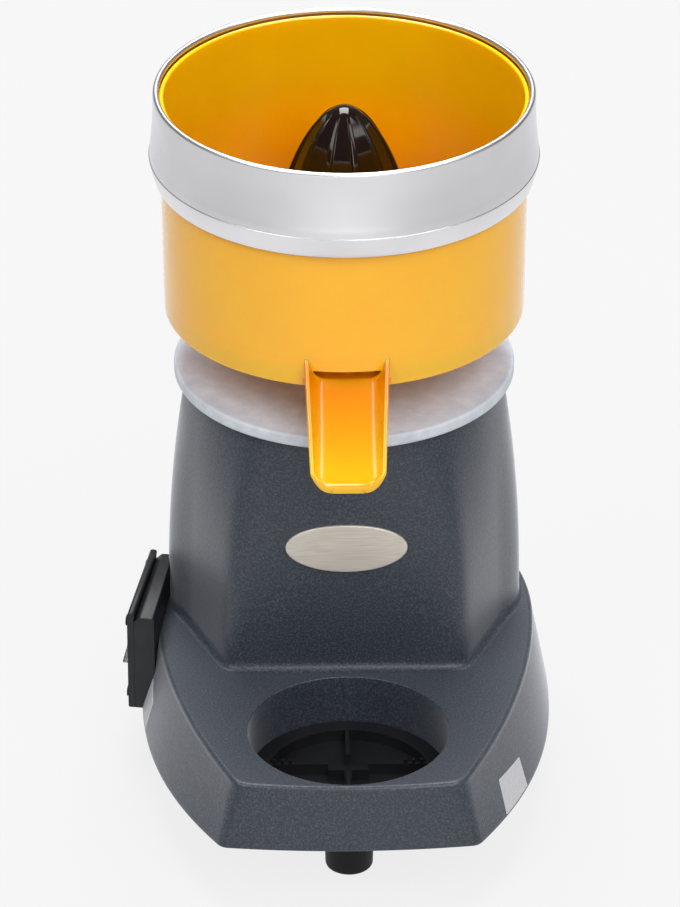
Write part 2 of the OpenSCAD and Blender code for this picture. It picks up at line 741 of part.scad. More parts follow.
module switch_cover_screws() color("#6a6c70") in_frame() at_switch() spots_of_cover_screws()
    screw_up(cover_screw_r, cover_screw_l, cover_head_r, cover_head_h);

module switch_body() color("#1d1d1f") in_frame() at_switch() difference() {
    union() {
        translate([-bezel_t, -body_half_w - 1.5, switch_z - body_half_h - 1.5])
            cube([bezel_t, 2 * body_half_w + 3, 2 * body_half_h + 3]);
        translate([-eps, -body_half_w, switch_z - body_half_h])
            cube([body_d, 2 * body_half_w, 2 * body_half_h]);
    }
    translate([-5, -rocker_half_w - slip, switch_z - rocker_arc_r - slip])
        cube([5 + 6, 2 * (rocker_half_w + slip), 2 * (rocker_arc_r + slip)]);
    translate([rocker_pivot_x, 0, switch_z]) rotate([90, 0, 0])
        cylinder(r = rocker_arc_r + slip, h = 2 * (rocker_half_w + slip), center = true);
}

// a profile across the switch, drawn along the flank
module along_flank(half_w) {
    translate([0, half_w, switch_z]) rotate([90, 0, 0]) linear_extrude(2 * half_w) children();
}

module switch_boot() color("#dfe3e4", 0.5) in_frame() at_switch() difference() {
    along_flank(boot_half_w) polygon([
        [0, -boot_half_h], [-boot_out, -boot_half_h], [-boot_top_out, -3], [-boot_top_out, boot_half_h],
        [0, boot_half_h]]);
    along_flank(boot_half_w - boot_wall) polygon([
        [1, boot_wall - boot_half_h], [boot_wall - boot_out, boot_wall - boot_half_h],
        [boot_wall - boot_top_out, -3], [boot_wall - boot_top_out, boot_half_h - boot_wall],
        [1, boot_half_h - boot_wall]]);
}

module switch_rocker() color("#8e1f1a") in_frame() at_switch()
    translate([rocker_pivot_x, 0, switch_z]) rotate([0, rocker_throw / 2, 0]) intersection() {
        rotate([90, 0, 0]) cylinder(r = rocker_arc_r, h = 2 * rocker_half_w, center = true);
        translate([0, rocker_half_w, 0]) rotate([90, 0, 0]) linear_extrude(2 * rocker_half_w)
            polygon([[-2.5, 8.5], [-1.6, 0], [-2.5, -8.5], [3, -8.5], [3, 8.5]]);
    }

module motor_shaft() color("#d3d5d8") in_frame() difference() {
    translate([0, 0, shaft_low]) cylinder(r = shaft_r, h = shaft_top - shaft_low);
    translate([0, 0, pin_z]) rotate([0, 90, 0]) cylinder(r = pin_r, h = 4 * shaft_r, center = true);
}

module rotor_core() color("#7c8084") in_frame()
    translate([0, 0, stack_low]) tube(rotor_r, shaft_r, stack_h);

module rotor_end_rings() color("#bcc0c4") in_frame() {
    translate([0, 0, stack_top]) tube(rotor_r - 1, rotor_r - 8, 7);
    translate([0, 0, stack_low - 7]) tube(rotor_r - 1, rotor_r - 8, 7);
}

module cooling_fan() color("#2a2b2d") in_frame() translate([0, 0, fan_top - fan_h]) difference() {
    union() {
        cylinder(r = 12, h = fan_h);
        translate([0, 0, fan_h - 1.6]) cylinder(r = fan_r, h = 1.6);
        around(8, 11, 0) translate([0, -0.8, 0]) cube([fan_r - 12, 1.6, fan_h]);
    }
    translate([0, 0, -1]) cylinder(r = shaft_r, h = fan_h + 2);
}

module drive_pin() color("#d9dadc") in_frame()
    translate([0, 0, pin_z]) rotate([0, 90, 0]) cylinder(r = pin_r, h = 2 * pin_half, center = true);

module upper_bearing_inner_race() color("#c9ccd0") in_frame() inner_race(upper_bearing_z);

module upper_bearing_balls() color("#dfe1e4") in_frame() balls(upper_bearing_z);

module lower_bearing_inner_race() color("#c9ccd0") in_frame() inner_race(lower_bearing_z);

module lower_bearing_balls() color("#dfe1e4") in_frame() balls(lower_bearing_z);

function bowl_wall_r(z) = lerp(bowl_r, bowl_rim_r, (z - hub_top) / bowl_h);

// station of the spout at a share t of its length: reach, half width, height of the rim
function spout_station(t) =
    let (y = lerp(spout_root, spout_reach, t))
    let (straight = lerp(spout_half, spout_tip_half, t))
    let (c = max(0, y - (spout_reach - spout_corner)))
    [y, straight - (spout_corner - sqrt(spout_corner * spout_corner - c * c)),
        lerp(spout_rim_root, spout_rim_tip, pow(t, 0.8))];

// a power curve across the spout rises from its floor to its rim
function trough_curve(half, low, high, y) =
    [for (u = spout_shares) [half * u, -y, lerp(low, high, pow(abs(u), 7))]];
function spout_section(t) =
    let (s = spout_station(t))
    let (low = spout_floor_z(s[0]))
    let (outside = trough_curve(s[1], low - spout_floor_t, low + s[2], s[0]))
    concat(
        trough_curve(s[1] - spout_wall, low, low + s[2], s[0]),
        [for (i = [len(outside) - 1 : -1 : 0]) outside[i]]);

// open trough: each section runs along the inside and back along the outside
module trough(sections) {
    n = len(sections[0]);
    m = len(sections);
    tip = (m - 1) * n;
    points = [for (section = sections) each section];
    skin = [for (k = [0 : m - 2]) for (i = [0 : n - 1])
        let (j = (i + 1) % n)
        each [[k * n + i, k * n + j, (k + 1) * n + j], [k * n + i, (k + 1) * n + j, (k + 1) * n + i]]];
    root_end = [for (i = [0 : n / 2 - 2])
        each [[i, n - 1 - i, n - 2 - i], [i, n - 2 - i, i + 1]]];
    tip_end = [for (i = [0 : n / 2 - 2])
        each [[tip + i, tip + n - 2 - i, tip + n - 1 - i], [tip + i, tip + i + 1, tip + n - 2 - i]]];
    polyhedron(points = points, faces = concat(skin, root_end, tip_end));
}

module juice_bowl() color("#f0a91f") in_frame() difference() {
    union() {
        rotate_extrude() polygon([
            [chimney_in, hub_top], [hub_r + 0.4, hub_top], [hub_r + 0.4, hub_top - 7.5],
            [hub_r + 3, hub_top - 7.5], [hub_r + 3, hub_top], [bowl_r - 3.5, hub_top],
            [bowl_r - 1.05, hub_top + 1.05], [bowl_r, hub_top + 3.5], [bowl_rim_r, bowl_top],
            [bowl_rim_r - bowl_wall, bowl_top], [bowl_wall_r(sieve_z) - bowl_wall, sieve_z],
            [sieve_out - 2, sieve_z], [sieve_out - 2, sieve_z - 2], [bowl_r - bowl_wall, sieve_z - 4],
            [bowl_r - bowl_wall, bowl_floor], [chimney_out, bowl_floor], [chimney_out, chimney_top],
            [chimney_in, chimney_top]]);
        trough([for (t = spout_shares_long) spout_section(t)]);
    }
    translate([-outlet_half, -bowl_r - 0.6, bowl_floor])
        cube([2 * outlet_half, bowl_wall + 2, sieve_z - 3 - bowl_floor]);
}

module splash_ring() color("#d0d0d2") in_frame() {
    rotate_extrude() polygon(concat(
        [for (p = ring_profile) [ring_in + p[0], ring_low + p[1]]],
        [[ring_in, bowl_top], [ring_in - ring_seat_w, bowl_top], [ring_in - ring_seat_w, bowl_top + 1],
            [ring_in + ring_t, bowl_top + 1]],
        [for (i = [len(ring_profile) - 1 : -1 : 0])
            [ring_in + ring_t + ring_profile[i][0], ring_low + ring_profile[i][1]]]));
    rotate_extrude() translate([ring_in + ring_t - lip_r, bowl_top + lip_r]) circle(r = lip_r);
}

module pulp_sieve() color("#c3c6c9") in_frame() difference() {
    union() {
        translate([0, 0, sieve_z]) tube(sieve_out, sieve_in, sieve_t);
        translate([0, 0, sieve_z]) tube(sieve_out, sieve_out - 1, sieve_rim_h);
        translate([0, 0, sieve_z]) tube(sieve_in + 1, sieve_in, sieve_rim_h);
    }
    around(48, (sieve_in + sieve_out) / 2, 0) translate([-slot_l / 2, -slot_w / 2, sieve_z - 1])
        cube([slot_l, slot_w, sieve_t + 2]);
}

// ridge line of the cone at a depth h below its tip
function ridge_r(h) = cone_r * pow(1 - pow(1 - h / cone_h, 1.8), 0.56);

// each rib has a narrow flat crest, and the concave flute beside it is deepest midway to the next rib
flute_steps = 7;
cone_turn = 11 - 90;
function flute_share(h) =
    let (low_share = smooth((h - 0.55 * cone_h) / (0.4 * cone_h)))
    flute_depth * smooth((h - cone_cap_h) / flute_run_in) * (1 - 0.75 * low_share);
function rib_points(h, rib) =
    [for (k = [0 : flute_steps])
        let (across = max(0, (k - 1) / flute_steps))
        let (turn = k == 0 ? -rib_crest / 2 : rib_crest / 2 + (1 - rib_crest) * across)
        let (a = cone_turn + 360 * (rib + turn) / cone_ribs)
        let (r = ridge_r(h) * (1 - flute_share(h) * (1 - pow(2 * across - 1, 2))))
        [r * cos(a), r * sin(a), cone_top - h]];
function cone_ring(h) = [for (rib = [0 : cone_ribs - 1]) each rib_points(h, rib)];
cone_depths = [
    1, 0.88, 0.76, 0.64, 0.54, 0.45, 0.36, 0.28, 0.21, 0.15, 0.1, 0.075, 0.05, 0.03, 0.012, 0.003];

module reamer_cone() color("#15100d") in_frame() difference() {
    loft([for (d = cone_depths) cone_ring(d * cone_h)]);
    difference() {
        translate([0, 0, cone_low - 1])
            cylinder(r1 = cone_r * 0.84, r2 = cone_r * 0.6, h = shaft_top - cone_low - 3);
        translate([0, 0, cone_low - 2]) cylinder(r = cone_hub_r, h = bush_top - cone_low + 4);
    }
    translate([0, 0, cone_low - 1]) cylinder(r = bush_r, h = bush_top - cone_low + 1);
}

module cone_drive_bush() color("#b6b9bd") in_frame() difference() {
    translate([0, 0, bush_low]) cylinder(r = bush_r, h = bush_top - bush_low);
    translate([0, 0, bush_low - 1]) cylinder(r = shaft_r + snug, h = shaft_top - bush_low + 1);
    translate([-2 * bush_r, -pin_r - slip, bush_low - 1])
        cube([4 * bush_r, 2 * (pin_r + slip), pin_z + pin_r + slip - bush_low + 1]);
}

// ribs of the tray lie level with its ledge; small teeth stand on the outer ends of the cross ribs
module drip_tray() color("#17181a") in_frame() translate([0, well_y, well_floor]) {
    reach = tray_r - tray_ledge_w / 2;
    cylinder(r = tray_r, h = tray_floor_t);
    tube(tray_r, tray_r - tray_ledge_w, tray_ledge_h);
    translate([-rib_t / 2, rib_y + 8, 0]) cube([rib_t, reach - rib_y - 8, tray_ledge_h]);
    translate([-rib_t / 2, -reach, 0]) cube([rib_t, reach + 3, tray_ledge_h]);
    for (s = [-1, 1]) {
        translate([s < 0 ? -reach + 2 : rib_gap, rib_y - rib_t / 2, 0])
            cube([reach - 2 - rib_gap, rib_t, tray_ledge_h]);
        translate([s < 0 ? -rib_gap : rib_t, rib_y - 6.5, 0]) cube([rib_gap - rib_t, 2.5, tray_ledge_h]);
        for (k = [0 : 2]) translate([s * (tray_r - tray_ledge_w - 4 - 4 * k), rib_y, 0])
            cylinder(r = rib_t / 2 - 0.1, h = tray_ledge_h + 2.2);
    }
}

base_casting();
bottom_plate();
bottom_plate_screws();
front_foot();
rear_left_foot();
rear_right_foot();
foot_screws();
seat_plate();
seat_plate_screws();
shaft_seal();
badge_plate();
motor_upper_shield();
motor_lower_shield();
motor_mount_screws();
stator_core();
stator_windings();
motor_through_bolts();
upper_bearing_outer_race();
lower_bearing_outer_race();
run_capacitor();
capacitor_clip();
terminal_block();
cable_gland();
switch_box();
switch_box_screws();
switch_cover();
switch_cover_screws();
switch_body();
switch_boot();
motor_shaft();
rotor_core();
rotor_end_rings();
cooling_fan();
drive_pin();
upper_bearing_inner_race();
upper_bearing_balls();
lower_bearing_inner_race();
lower_bearing_balls();
juice_bowl();
splash_ring();
pulp_sieve();
reamer_cone();
cone_drive_bush();
drip_tray();
switch_rocker();
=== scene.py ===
import json
import math

import bmesh
import bpy
import numpy as np
from mathutils import Matrix, Vector
from mathutils.geometry import delaunay_2d_cdt


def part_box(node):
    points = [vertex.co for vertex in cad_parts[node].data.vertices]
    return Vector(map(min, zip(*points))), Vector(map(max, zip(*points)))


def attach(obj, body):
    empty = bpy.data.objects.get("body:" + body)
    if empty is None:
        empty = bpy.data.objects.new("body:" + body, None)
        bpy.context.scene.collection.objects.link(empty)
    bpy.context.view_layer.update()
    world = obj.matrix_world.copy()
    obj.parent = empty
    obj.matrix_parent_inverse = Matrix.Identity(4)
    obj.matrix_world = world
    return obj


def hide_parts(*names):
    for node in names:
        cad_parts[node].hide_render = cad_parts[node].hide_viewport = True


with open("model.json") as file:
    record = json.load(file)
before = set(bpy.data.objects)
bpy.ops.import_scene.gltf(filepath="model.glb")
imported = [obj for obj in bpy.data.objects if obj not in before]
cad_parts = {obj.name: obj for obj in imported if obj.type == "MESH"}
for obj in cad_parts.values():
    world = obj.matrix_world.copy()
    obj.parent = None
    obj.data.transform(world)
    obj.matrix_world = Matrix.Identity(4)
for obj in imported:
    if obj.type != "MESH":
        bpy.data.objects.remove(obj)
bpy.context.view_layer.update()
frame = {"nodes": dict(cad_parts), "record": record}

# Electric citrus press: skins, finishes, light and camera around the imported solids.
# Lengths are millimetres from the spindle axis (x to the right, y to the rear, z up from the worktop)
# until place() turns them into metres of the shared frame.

MM = 0.001
SHAFT_LOW, SHAFT_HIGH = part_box("motor_shaft")
SPINDLE = np.array([(SHAFT_LOW[0] + SHAFT_HIGH[0]) / 2, (SHAFT_LOW[1] + SHAFT_HIGH[1]) / 2, 0.0])


def box_mm(name):
    """Low and high corner of a CAD node, in millimetres from the spindle axis, to a hundredth."""
    return np.round((np.array(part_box(name)) - SPINDLE) / MM, 2)


CASTING_LOW, CASTING_HIGH = box_mm("base_casting")
PLATE_LOW, PLATE_HIGH = box_mm("seat_plate")
BOWL_LOW, BOWL_HIGH = box_mm("juice_bowl")
RING_BOX_LOW, RING_BOX_HIGH = box_mm("splash_ring")
TRAY_LOW, TRAY_HIGH = box_mm("drip_tray")
BADGE_LOW, BADGE_HIGH = box_mm("badge_plate")
GLAND_LOW, GLAND_HIGH = box_mm("cable_gland")

# Base of the stand: rear radius, reach and half width of the front, heights of its lower edge and shelf
BASE_R = CASTING_HIGH[0]
BASE_FRONT = -CASTING_LOW[1]
BASE_FRONT_HALF = 63.5
SKIRT_Z = 28.0
SHELF_Z = 62.0

# Lean of flank and front, bulge of the front, power of the round rear, share of an inset at the corners
FLANK_DRAFT = 7.5
FRONT_DRAFT = 5.0
FRONT_BULGE = 4.2
REAR_POWER = 2.1
CORNER_INSET = 0.7

# At the skirt and at the shelf: power of the flank's bow, where it is widest, and the front corner's length
SKIRT_BOW, SHELF_BOW = 2.3, 1.9
SKIRT_MID, SHELF_MID = -48.0, -21.0
SKIRT_CORNER, SHELF_CORNER = 3.0, 6.5

# Rounded edges of the stand, narrow flats beside them, and the wall that shows under the skirt
EDGE_FILLET = 2.5
CREASE_FILLET = 4.5
UNDER_EDGE = 1.0
WELL_EDGE = 0.8
EDGE_FLAT = 0.3
WALL = 5.0
TUCK = 6.0

# Tower: deck height, radius of its foot and its round top, distance of its front flat, power of its swell
DECK_Z = PLATE_LOW[2]
TOWER_FOOT_R = 90.2
TOWER_TOP_R = 79.4
TOWER_FRONT = 80.6
TOWER_SWELL = 2.2

# Side flats of the tower: bearing from the front, distance, sharpness, where they ease into the back
FLAT_BEARING = 67.3
FLAT_DISTANCE = TOWER_FOOT_R - 4.4
FLAT_POWER = 26
FLAT_END, BACK_START = 65, 95

# Well for the glass and the cup under it
WELL_Y = (TRAY_LOW[1] + TRAY_HIGH[1]) / 2
WELL_R = 50.0
WELL_FLOOR = TRAY_LOW[2]
CUP_UNDER = CASTING_LOW[2]
CUP_WALL = 3.0

# Seat plate and its hub
SEAT_R = PLATE_HIGH[0]
SEAT_TOP = 198.5
HUB_R = 32.0
HUB_TOP = PLATE_HIGH[2]
SEAL_R = 13.05
SHAFT_HOLE_R = 10.0
HUB_HOLLOW_R = 24.0

# Bowl: outer radius at floor and rim, heights, wall, sieve ledge, the outlet's half angle and top, chimney
BOWL_R = 90.3
BOWL_RIM_R = BOWL_HIGH[0]
BOWL_TOP = BOWL_HIGH[2]
BOWL_FLOOR = 233.0
BOWL_WALL = 2.5
FLOOR_CORNER = 1.0
SIEVE_Z = box_mm("pulp_sieve")[0][2]
LEDGE_R = 82.7
OUTLET_TURN = 10.6
OUTLET_HIGH = SIEVE_Z - 3
CHIMNEY_IN, CHIMNEY_OUT, CHIMNEY_TOP = 14.0, 16.5, 268.0
SKIRT_RING_DEPTH = 7.5

# Spout: half width at root and tip, reach past the bowl, fall per millimetre, wall and height of its sides
SPOUT_HALF, SPOUT_TIP_HALF = 21.0, 18.4
SPOUT_LEN = -BOWL_LOW[1] - BOWL_R
SPOUT_SLOPE = 0.735
SPOUT_WALL = 2.3
SPOUT_RIM, SPOUT_TIP_RIM = 10.5, 2.6
TROUGH_POWER = 7

# Splash ring: its shoulder stands out from the wall, and its lip is a round roll
SHOULDER = 2.5
RING_LOW = RING_BOX_LOW[2]
RING_R = RING_BOX_HIGH[0] - SHOULDER
RING_T = 1.4
LIP_R = 1.6

# Reamer cone: ten ribs, the first one 14 degrees from straight ahead
CONE_LOW = box_mm("reamer_cone")[0][2]
CONE_R = 35.5
CONE_H = 83.0
CONE_RIBS = 10
CONE_TURN = 14 - 90

# Angles along a rounded edge
QUARTER_TURN = np.radians(np.linspace(0, 90, 9))


def place(points):
    """Millimetres from the spindle axis to metres of the shared frame: scaled, then moved to the axis."""
    return np.asarray(points, float) * MM + SPINDLE


def smooth_step(t):
    """Cubic ease 3t^2 - 2t^3 from 0 to 1, flat outside."""
    t = np.clip(t, 0, 1)
    return t * t * (3 - 2 * t)


def mix(a, b, t):
    """Straight blend from a to b."""
    return a + (b - a) * t


def grid_faces(rows, columns, close_rows=False, close_columns=True):
    """Quads between neighbouring rows and columns of a point grid, wrapped round where it is closed."""
    i = np.arange(rows if close_rows else rows - 1)
    j = np.arange(columns if close_columns else columns - 1)
    i, j = (a.ravel() for a in np.meshgrid(i, j, indexing="ij"))
    i2, j2 = (i + 1) % rows, (j + 1) % columns
    return np.stack([i * columns + j, i * columns + j2, i2 * columns + j2, i2 * columns + j], 1)


def grid_part(grid, close_rows=False, close_columns=True):
    """A grid of points, rows by columns by 3, as (vertices, faces)."""
    rows, columns = grid.shape[:2]
    return grid.reshape(-1, 3), grid_faces(rows, columns, close_rows, close_columns)


def cap_part(loop):
    """One flat face over a closed loop of points."""
    return np.asarray(loop, float), np.arange(len(loop))[None, :]


def rounded(corners, steps=6):
    """Closed outline through (x, y, radius) corners: a quadratic arc starts and ends a radius from each."""
    c = np.asarray(corners, float)
    here, radius = c[:, None, :2], c[:, 2][:, None, None]
    to_last = np.roll(c, 1, 0)[:, None, :2] - here
    to_next = np.roll(c, -1, 0)[:, None, :2] - here
    last_len = np.linalg.norm(to_last, axis=2, keepdims=True)
    next_len = np.linalg.norm(to_next, axis=2, keepdims=True)
    start = here + to_last / last_len * np.minimum(radius, 0.49 * last_len)
    end = here + to_next / next_len * np.minimum(radius, 0.49 * next_len)
    t = np.linspace(0, 1, steps)[None, :, None]
    return ((1 - t) ** 2 * start + 2 * t * (1 - t) * here + t**2 * end).reshape(-1, 2)


def turned(profile, angles=None, centre=(0.0, 0.0)):
    """A profile of (radius, height) carried round an upright axis: rows follow it, columns the turn."""
    angles = np.radians(np.arange(0, 360, 2.0) if angles is None else angles)
    r, z = profile[:, 0][:, None], profile[:, 1][:, None]
    x = centre[0] + r * np.cos(angles)
    y = centre[1] + r * np.sin(angles)
    return np.stack(np.broadcast_arrays(x, y, z), 2)


def turned_ring(profile, centre=(0.0, 0.0), step=2.0):
    """A closed profile turned into a ring, with a column every step degrees."""
    return grid_part(turned(profile, np.arange(0, 360, step), centre), close_rows=True)


def joined_parts(parts):
    """Several (vertices, faces) as one: faces are shifted by the vertices before them."""
    shift = np.cumsum([0] + [len(vertices) for vertices, _ in parts])
    faces = []
    for (_, part), first in zip(parts, shift):
        faces.extend((np.asarray(part) + first).tolist())
    return np.concatenate([vertices for vertices, _ in parts]), faces


def piece(name, parts, material, body, replaced=(), crease=38):
    """Puts (vertices, faces) parts in one mesh at the origin, with seams merged and faces turned outwards.

    The piece rides on a body, takes its finish from a slot, and may stand for CAD nodes. Edges sharper than
    the crease angle stay sharp.
    """
    vertices, faces = joined_parts(parts)
    mesh = bpy.data.meshes.new(name)
    mesh.from_pydata(place(vertices).tolist(), [], faces)
    work = bmesh.new()
    work.from_mesh(mesh)
    bmesh.ops.remove_doubles(work, verts=work.verts, dist=2e-6)
    bmesh.ops.dissolve_degenerate(work, dist=1e-7, edges=work.edges)
    bmesh.ops.recalc_face_normals(work, faces=work.faces)
    work.to_mesh(mesh)
    work.free()
    mesh.shade_smooth()
    mesh.set_sharp_from_angle(angle=math.radians(crease))
    obj = bpy.data.objects.new(name, mesh)
    bpy.context.scene.collection.objects.link(obj)
    mesh.materials.append(material)
    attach(obj, body)
    if replaced:
        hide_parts(*replaced)


# Materials

NOISE = "ShaderNodeTexNoise"
RANGE = "ShaderNodeMapRange"
RAMP = "ShaderNodeValToRGB"
BUMP = "ShaderNodeBump"
MATH = "ShaderNodeMath"
VECTOR = "ShaderNodeVectorMath"
SPLIT = "ShaderNodeSeparateXYZ"
MIX = "ShaderNodeMix"

# Numbers of the colour sockets on a Mix node, and the two ways in which shares are joined
MIX_SHARE, MIX_FIRST, MIX_SECOND, MIX_RESULT = 0, 6, 7, 2
PRODUCT = {"operation": "MULTIPLY"}
LARGER = {"operation": "MAXIMUM"}


def colour(code):
    """sRGB hex code to linear red, green, blue and full alpha."""
    s = np.array([int(code[k:k + 2], 16) for k in (1, 3, 5)]) / 255
    linear = np.where(s <= 0.04045, s / 12.92, ((s + 0.055) / 1.055) ** 2.4)
    return (*linear.tolist(), 1.0)


def link(tree, target, sources):
    """Feeds sockets of a node, by number or name, from outputs of other nodes."""
    for key, source in sources.items():
        tree.links.new(source, target.inputs[key])


def node(tree, kind, settings=None, links=None, out=0):
    """Adds one node and gives back one of its outputs.

    A setting goes to a socket by number or name, to a property, or, as stops of (place, hex colour), to a
    colour ramp.
    """
    new = tree.nodes.new(kind)
    for key, value in (settings or {}).items():
        if key == "stops":
            first, *between, last = value
            for element, (spot, code) in zip(new.color_ramp.elements, (first, last)):
                element.position = spot
                element.color = colour(code)
            for spot, code in between:
                new.color_ramp.elements.new(spot).color = colour(code)
        elif isinstance(key, str) and hasattr(new, key) and key not in new.inputs:
            setattr(new, key, value)
        else:
            new.inputs[key].default_value = value
    link(tree, new, links or {})
    return new.outputs[out] if new.outputs else None


def finish(name, settings):
    """A material with one Principled shader: gives it, its tree, the shader and Object coordinates."""
    material = bpy.data.materials.new(name)
    material.use_nodes = True
    tree = material.node_tree
    shader = tree.nodes["Principled BSDF"]
    for key, value in settings.items():
        shader.inputs[key].default_value = value
    return material, tree, shader, node(tree, "ShaderNodeTexCoord", out="Object")


def per_mm(size):
    """Texture scale per metre for a pattern whose features are size millimetres apart."""
    return 1.0 / (size * MM)


def powder_coat():
    """Textured polyester powder coat on cast aluminium: dark blue grey, orange peel and paler grains.

    Both are about 1 mm apart, drawn coarser than real to show.
    """
    coat, tree, shader, where = finish("textured_powder_coat", {
        "IOR": 1.5, "Sheen Weight": 0.5, "Sheen Roughness": 0.4, "Sheen Tint": colour("#f4f4fa")})
    grain = node(tree, NOISE, {"Scale": per_mm(1.2), "Detail": 3.0}, {"Vector": where})
    fleck = node(tree, NOISE, {"Scale": per_mm(1.0), "Detail": 2.0}, {"Vector": where})
    cloud = node(tree, NOISE, {"Scale": per_mm(60), "Detail": 2.0}, {"Vector": where})
    body = node(tree, RAMP, {"stops": [(0.3, "#222832"), (0.7, "#272e38")]}, {"Fac": cloud})
    pale = node(tree, RAMP, {"stops": [(0.44, "#000000"), (0.7, "#ffffff")]}, {"Fac": fleck})
    tone = node(tree, MIX, {"data_type": "RGBA", MIX_SECOND: colour("#414955")},
                {MIX_SHARE: pale, MIX_FIRST: body}, MIX_RESULT)
    rough = node(tree, RANGE, {"To Min": 0.34, "To Max": 0.48}, {"Value": grain})
    peel = node(tree, BUMP, {"Strength": 0.75, "Distance": 0.12 * MM}, {"Height": grain})
    link(tree, shader, {"Base Color": tone, "Roughness": rough, "Normal": peel})
    return coat


def amber_plastic():
    """Moulded gloss polycarbonate in yellow orange: light goes a little way into it.

    Painted shade: the tone deepens to orange low in the bowl, on the outlet's sill and at the spout's root.
    """
    amber, tree, shader, where = finish("amber_polycarbonate", {
        "IOR": 1.55, "Subsurface Weight": 0.5, "Subsurface Scale": 5 * MM,
        "Subsurface Radius": (1.0, 0.45, 0.08), "Coat Weight": 0.2, "Coat Roughness": 0.06})
    cloud = node(tree, NOISE, {"Scale": per_mm(45), "Detail": 2.0}, {"Vector": where})
    body = node(tree, RAMP, {"stops": [(0.3, "#f5b600"), (0.7, "#f8bc00")]}, {"Fac": cloud})
    from_axis = node(tree, VECTOR, {"operation": "SUBTRACT", 1: tuple(SPINDLE)}, {0: where})
    spot = node(tree, VECTOR, {"operation": "SCALE", "Scale": 1 / MM}, {0: from_axis})
    in_plan = node(tree, VECTOR, {"operation": "MULTIPLY", 1: (1, 1, 0)}, {0: spot})
    radius = node(tree, VECTOR, {"operation": "LENGTH"}, {0: in_plan}, "Value")
    rearward = node(tree, SPLIT, {}, {0: spot}, "Y")
    height = node(tree, SPLIT, {}, {0: spot}, "Z")
    # each limit of the painted shade is (coordinate, where it starts, where it is full, its share there)
    shade_in_bowl = [(radius, BOWL_R - 0.2, BOWL_R - 0.4, 1.0), (height, BOWL_TOP - 20.5, BOWL_FLOOR + 2, 0.7)]
    shade_in_spout = [(radius, BOWL_R + 0.15, BOWL_R + 0.3, 1.0), (height, BOWL_FLOOR + 13, BOWL_FLOOR + 9, 1.0),
                (radius, BOWL_R + 37.7, BOWL_R + 3.7, 0.8)]
    shade_on_sill = [(rearward, BOWL_WALL + 0.2 - BOWL_R, BOWL_WALL - BOWL_R, 0.8),
               (height, BOWL_FLOOR + 1.5, BOWL_FLOOR + 0.5, 1.0), (radius, BOWL_R + 1.7, BOWL_R + 0.5, 1.0)]
    painted_shade = None
    for limits in (shade_in_bowl, shade_in_spout, shade_on_sill):
        share = None
        for coordinate, start, full, top in limits:
            limit = {"From Min": start, "From Max": full, "To Max": top}
            part = node(tree, RANGE, limit, {"Value": coordinate})
            share = part if share is None else node(tree, MATH, PRODUCT, {0: share, 1: part})
        painted_shade = share if painted_shade is None else node(tree, MATH, LARGER, {0: painted_shade, 1: share})
    # the painted shade pulls the tone towards deep orange
    tone = node(tree, MIX, {"data_type": "RGBA", MIX_SECOND: colour("#ea8000")},
                {MIX_SHARE: painted_shade, MIX_FIRST: body}, MIX_RESULT)
    skin = node(tree, NOISE, {"Scale": per_mm(2.5), "Detail": 2.0}, {"Vector": where})
    rough = node(tree, RANGE, {"To Min": 0.12, "To Max": 0.22}, {"Value": skin})
    link(tree, shader, {"Base Color": tone, "Roughness": rough})
    return amber


def spun_aluminium():
    """Spun aluminium, satin: turning lines run round it, 0.5 mm apart, drawn coarser than real to show."""
    spun, tree, shader, where = finish("spun_satin_aluminium", {"Metallic": 1.0, "Anisotropic": 0.35})
    lines = node(tree, "ShaderNodeMapping", {"Scale": (0.02, 0.02, 1.0)}, {"Vector": where})
    turn = node(tree, NOISE, {"Scale": per_mm(0.5), "Detail": 3.0}, {"Vector": lines})
    cloud = node(tree, NOISE, {"Scale": per_mm(30), "Detail": 3.0}, {"Vector": where})
    tone = node(tree, RAMP, {"stops": [(0.3, "#dcdcdf"), (0.7, "#e2e2e5")]}, {"Fac": cloud})
    rough = node(tree, RANGE, {"To Min": 0.24, "To Max": 0.38}, {"Value": turn})
    ridges = node(tree, BUMP, {"Strength": 0.12, "Distance": 0.05 * MM}, {"Height": turn})
    link(tree, shader, {"Base Color": tone, "Roughness": rough, "Normal": ridges})
    return spun


def cast_aluminium():
    """Cast aluminium, polished by hand: grey patches about 9 mm wide, with painted light on the top.

    Its oxide skin scatters light, so the shader is matt and not metallic.
    """
    cast, tree, shader, where = finish("mottled_cast_aluminium", {"Specular IOR Level": 0.15})
    patch = node(tree, NOISE, {"Scale": per_mm(9), "Detail": 5.0, "Roughness": 0.65}, {"Vector": where})
    side_tones = [(0.3, "#c2c8d0"), (0.5, "#cdd3da"), (0.72, "#dee2e8")]
    # painted light: the top's tones are paler and bluer than the sides', against the bowl's shade and
    # orange glow
    painted_top_tones = [(0.3, "#c5d1e0"), (0.5, "#cfdae8"), (0.72, "#dce5ef")]
    side = node(tree, RAMP, {"stops": side_tones}, {"Fac": patch})
    top = node(tree, RAMP, {"stops": painted_top_tones}, {"Fac": patch})
    height = node(tree, SPLIT, {}, {0: where}, "Z")
    # painted light: share of the top's paler tones, by height
    painted_top_light = node(tree, RANGE, {"From Min": (SEAT_TOP - 1.2) * MM, "From Max": (SEAT_TOP - 0.3) * MM},
                 {"Value": height})
    tone = node(tree, MIX, {"data_type": "RGBA"}, {MIX_SHARE: painted_top_light, MIX_FIRST: side, MIX_SECOND: top},
                MIX_RESULT)
    rough = node(tree, RANGE, {"To Min": 0.36, "To Max": 0.6}, {"Value": patch})
    pit = node(tree, NOISE, {"Scale": per_mm(1.4), "Detail": 3.0}, {"Vector": where})
    pits = node(tree, BUMP, {"Strength": 0.2, "Distance": 0.1 * MM}, {"Height": pit})
    link(tree, shader, {"Base Color": tone, "Roughness": rough, "Normal": pits})
    return cast


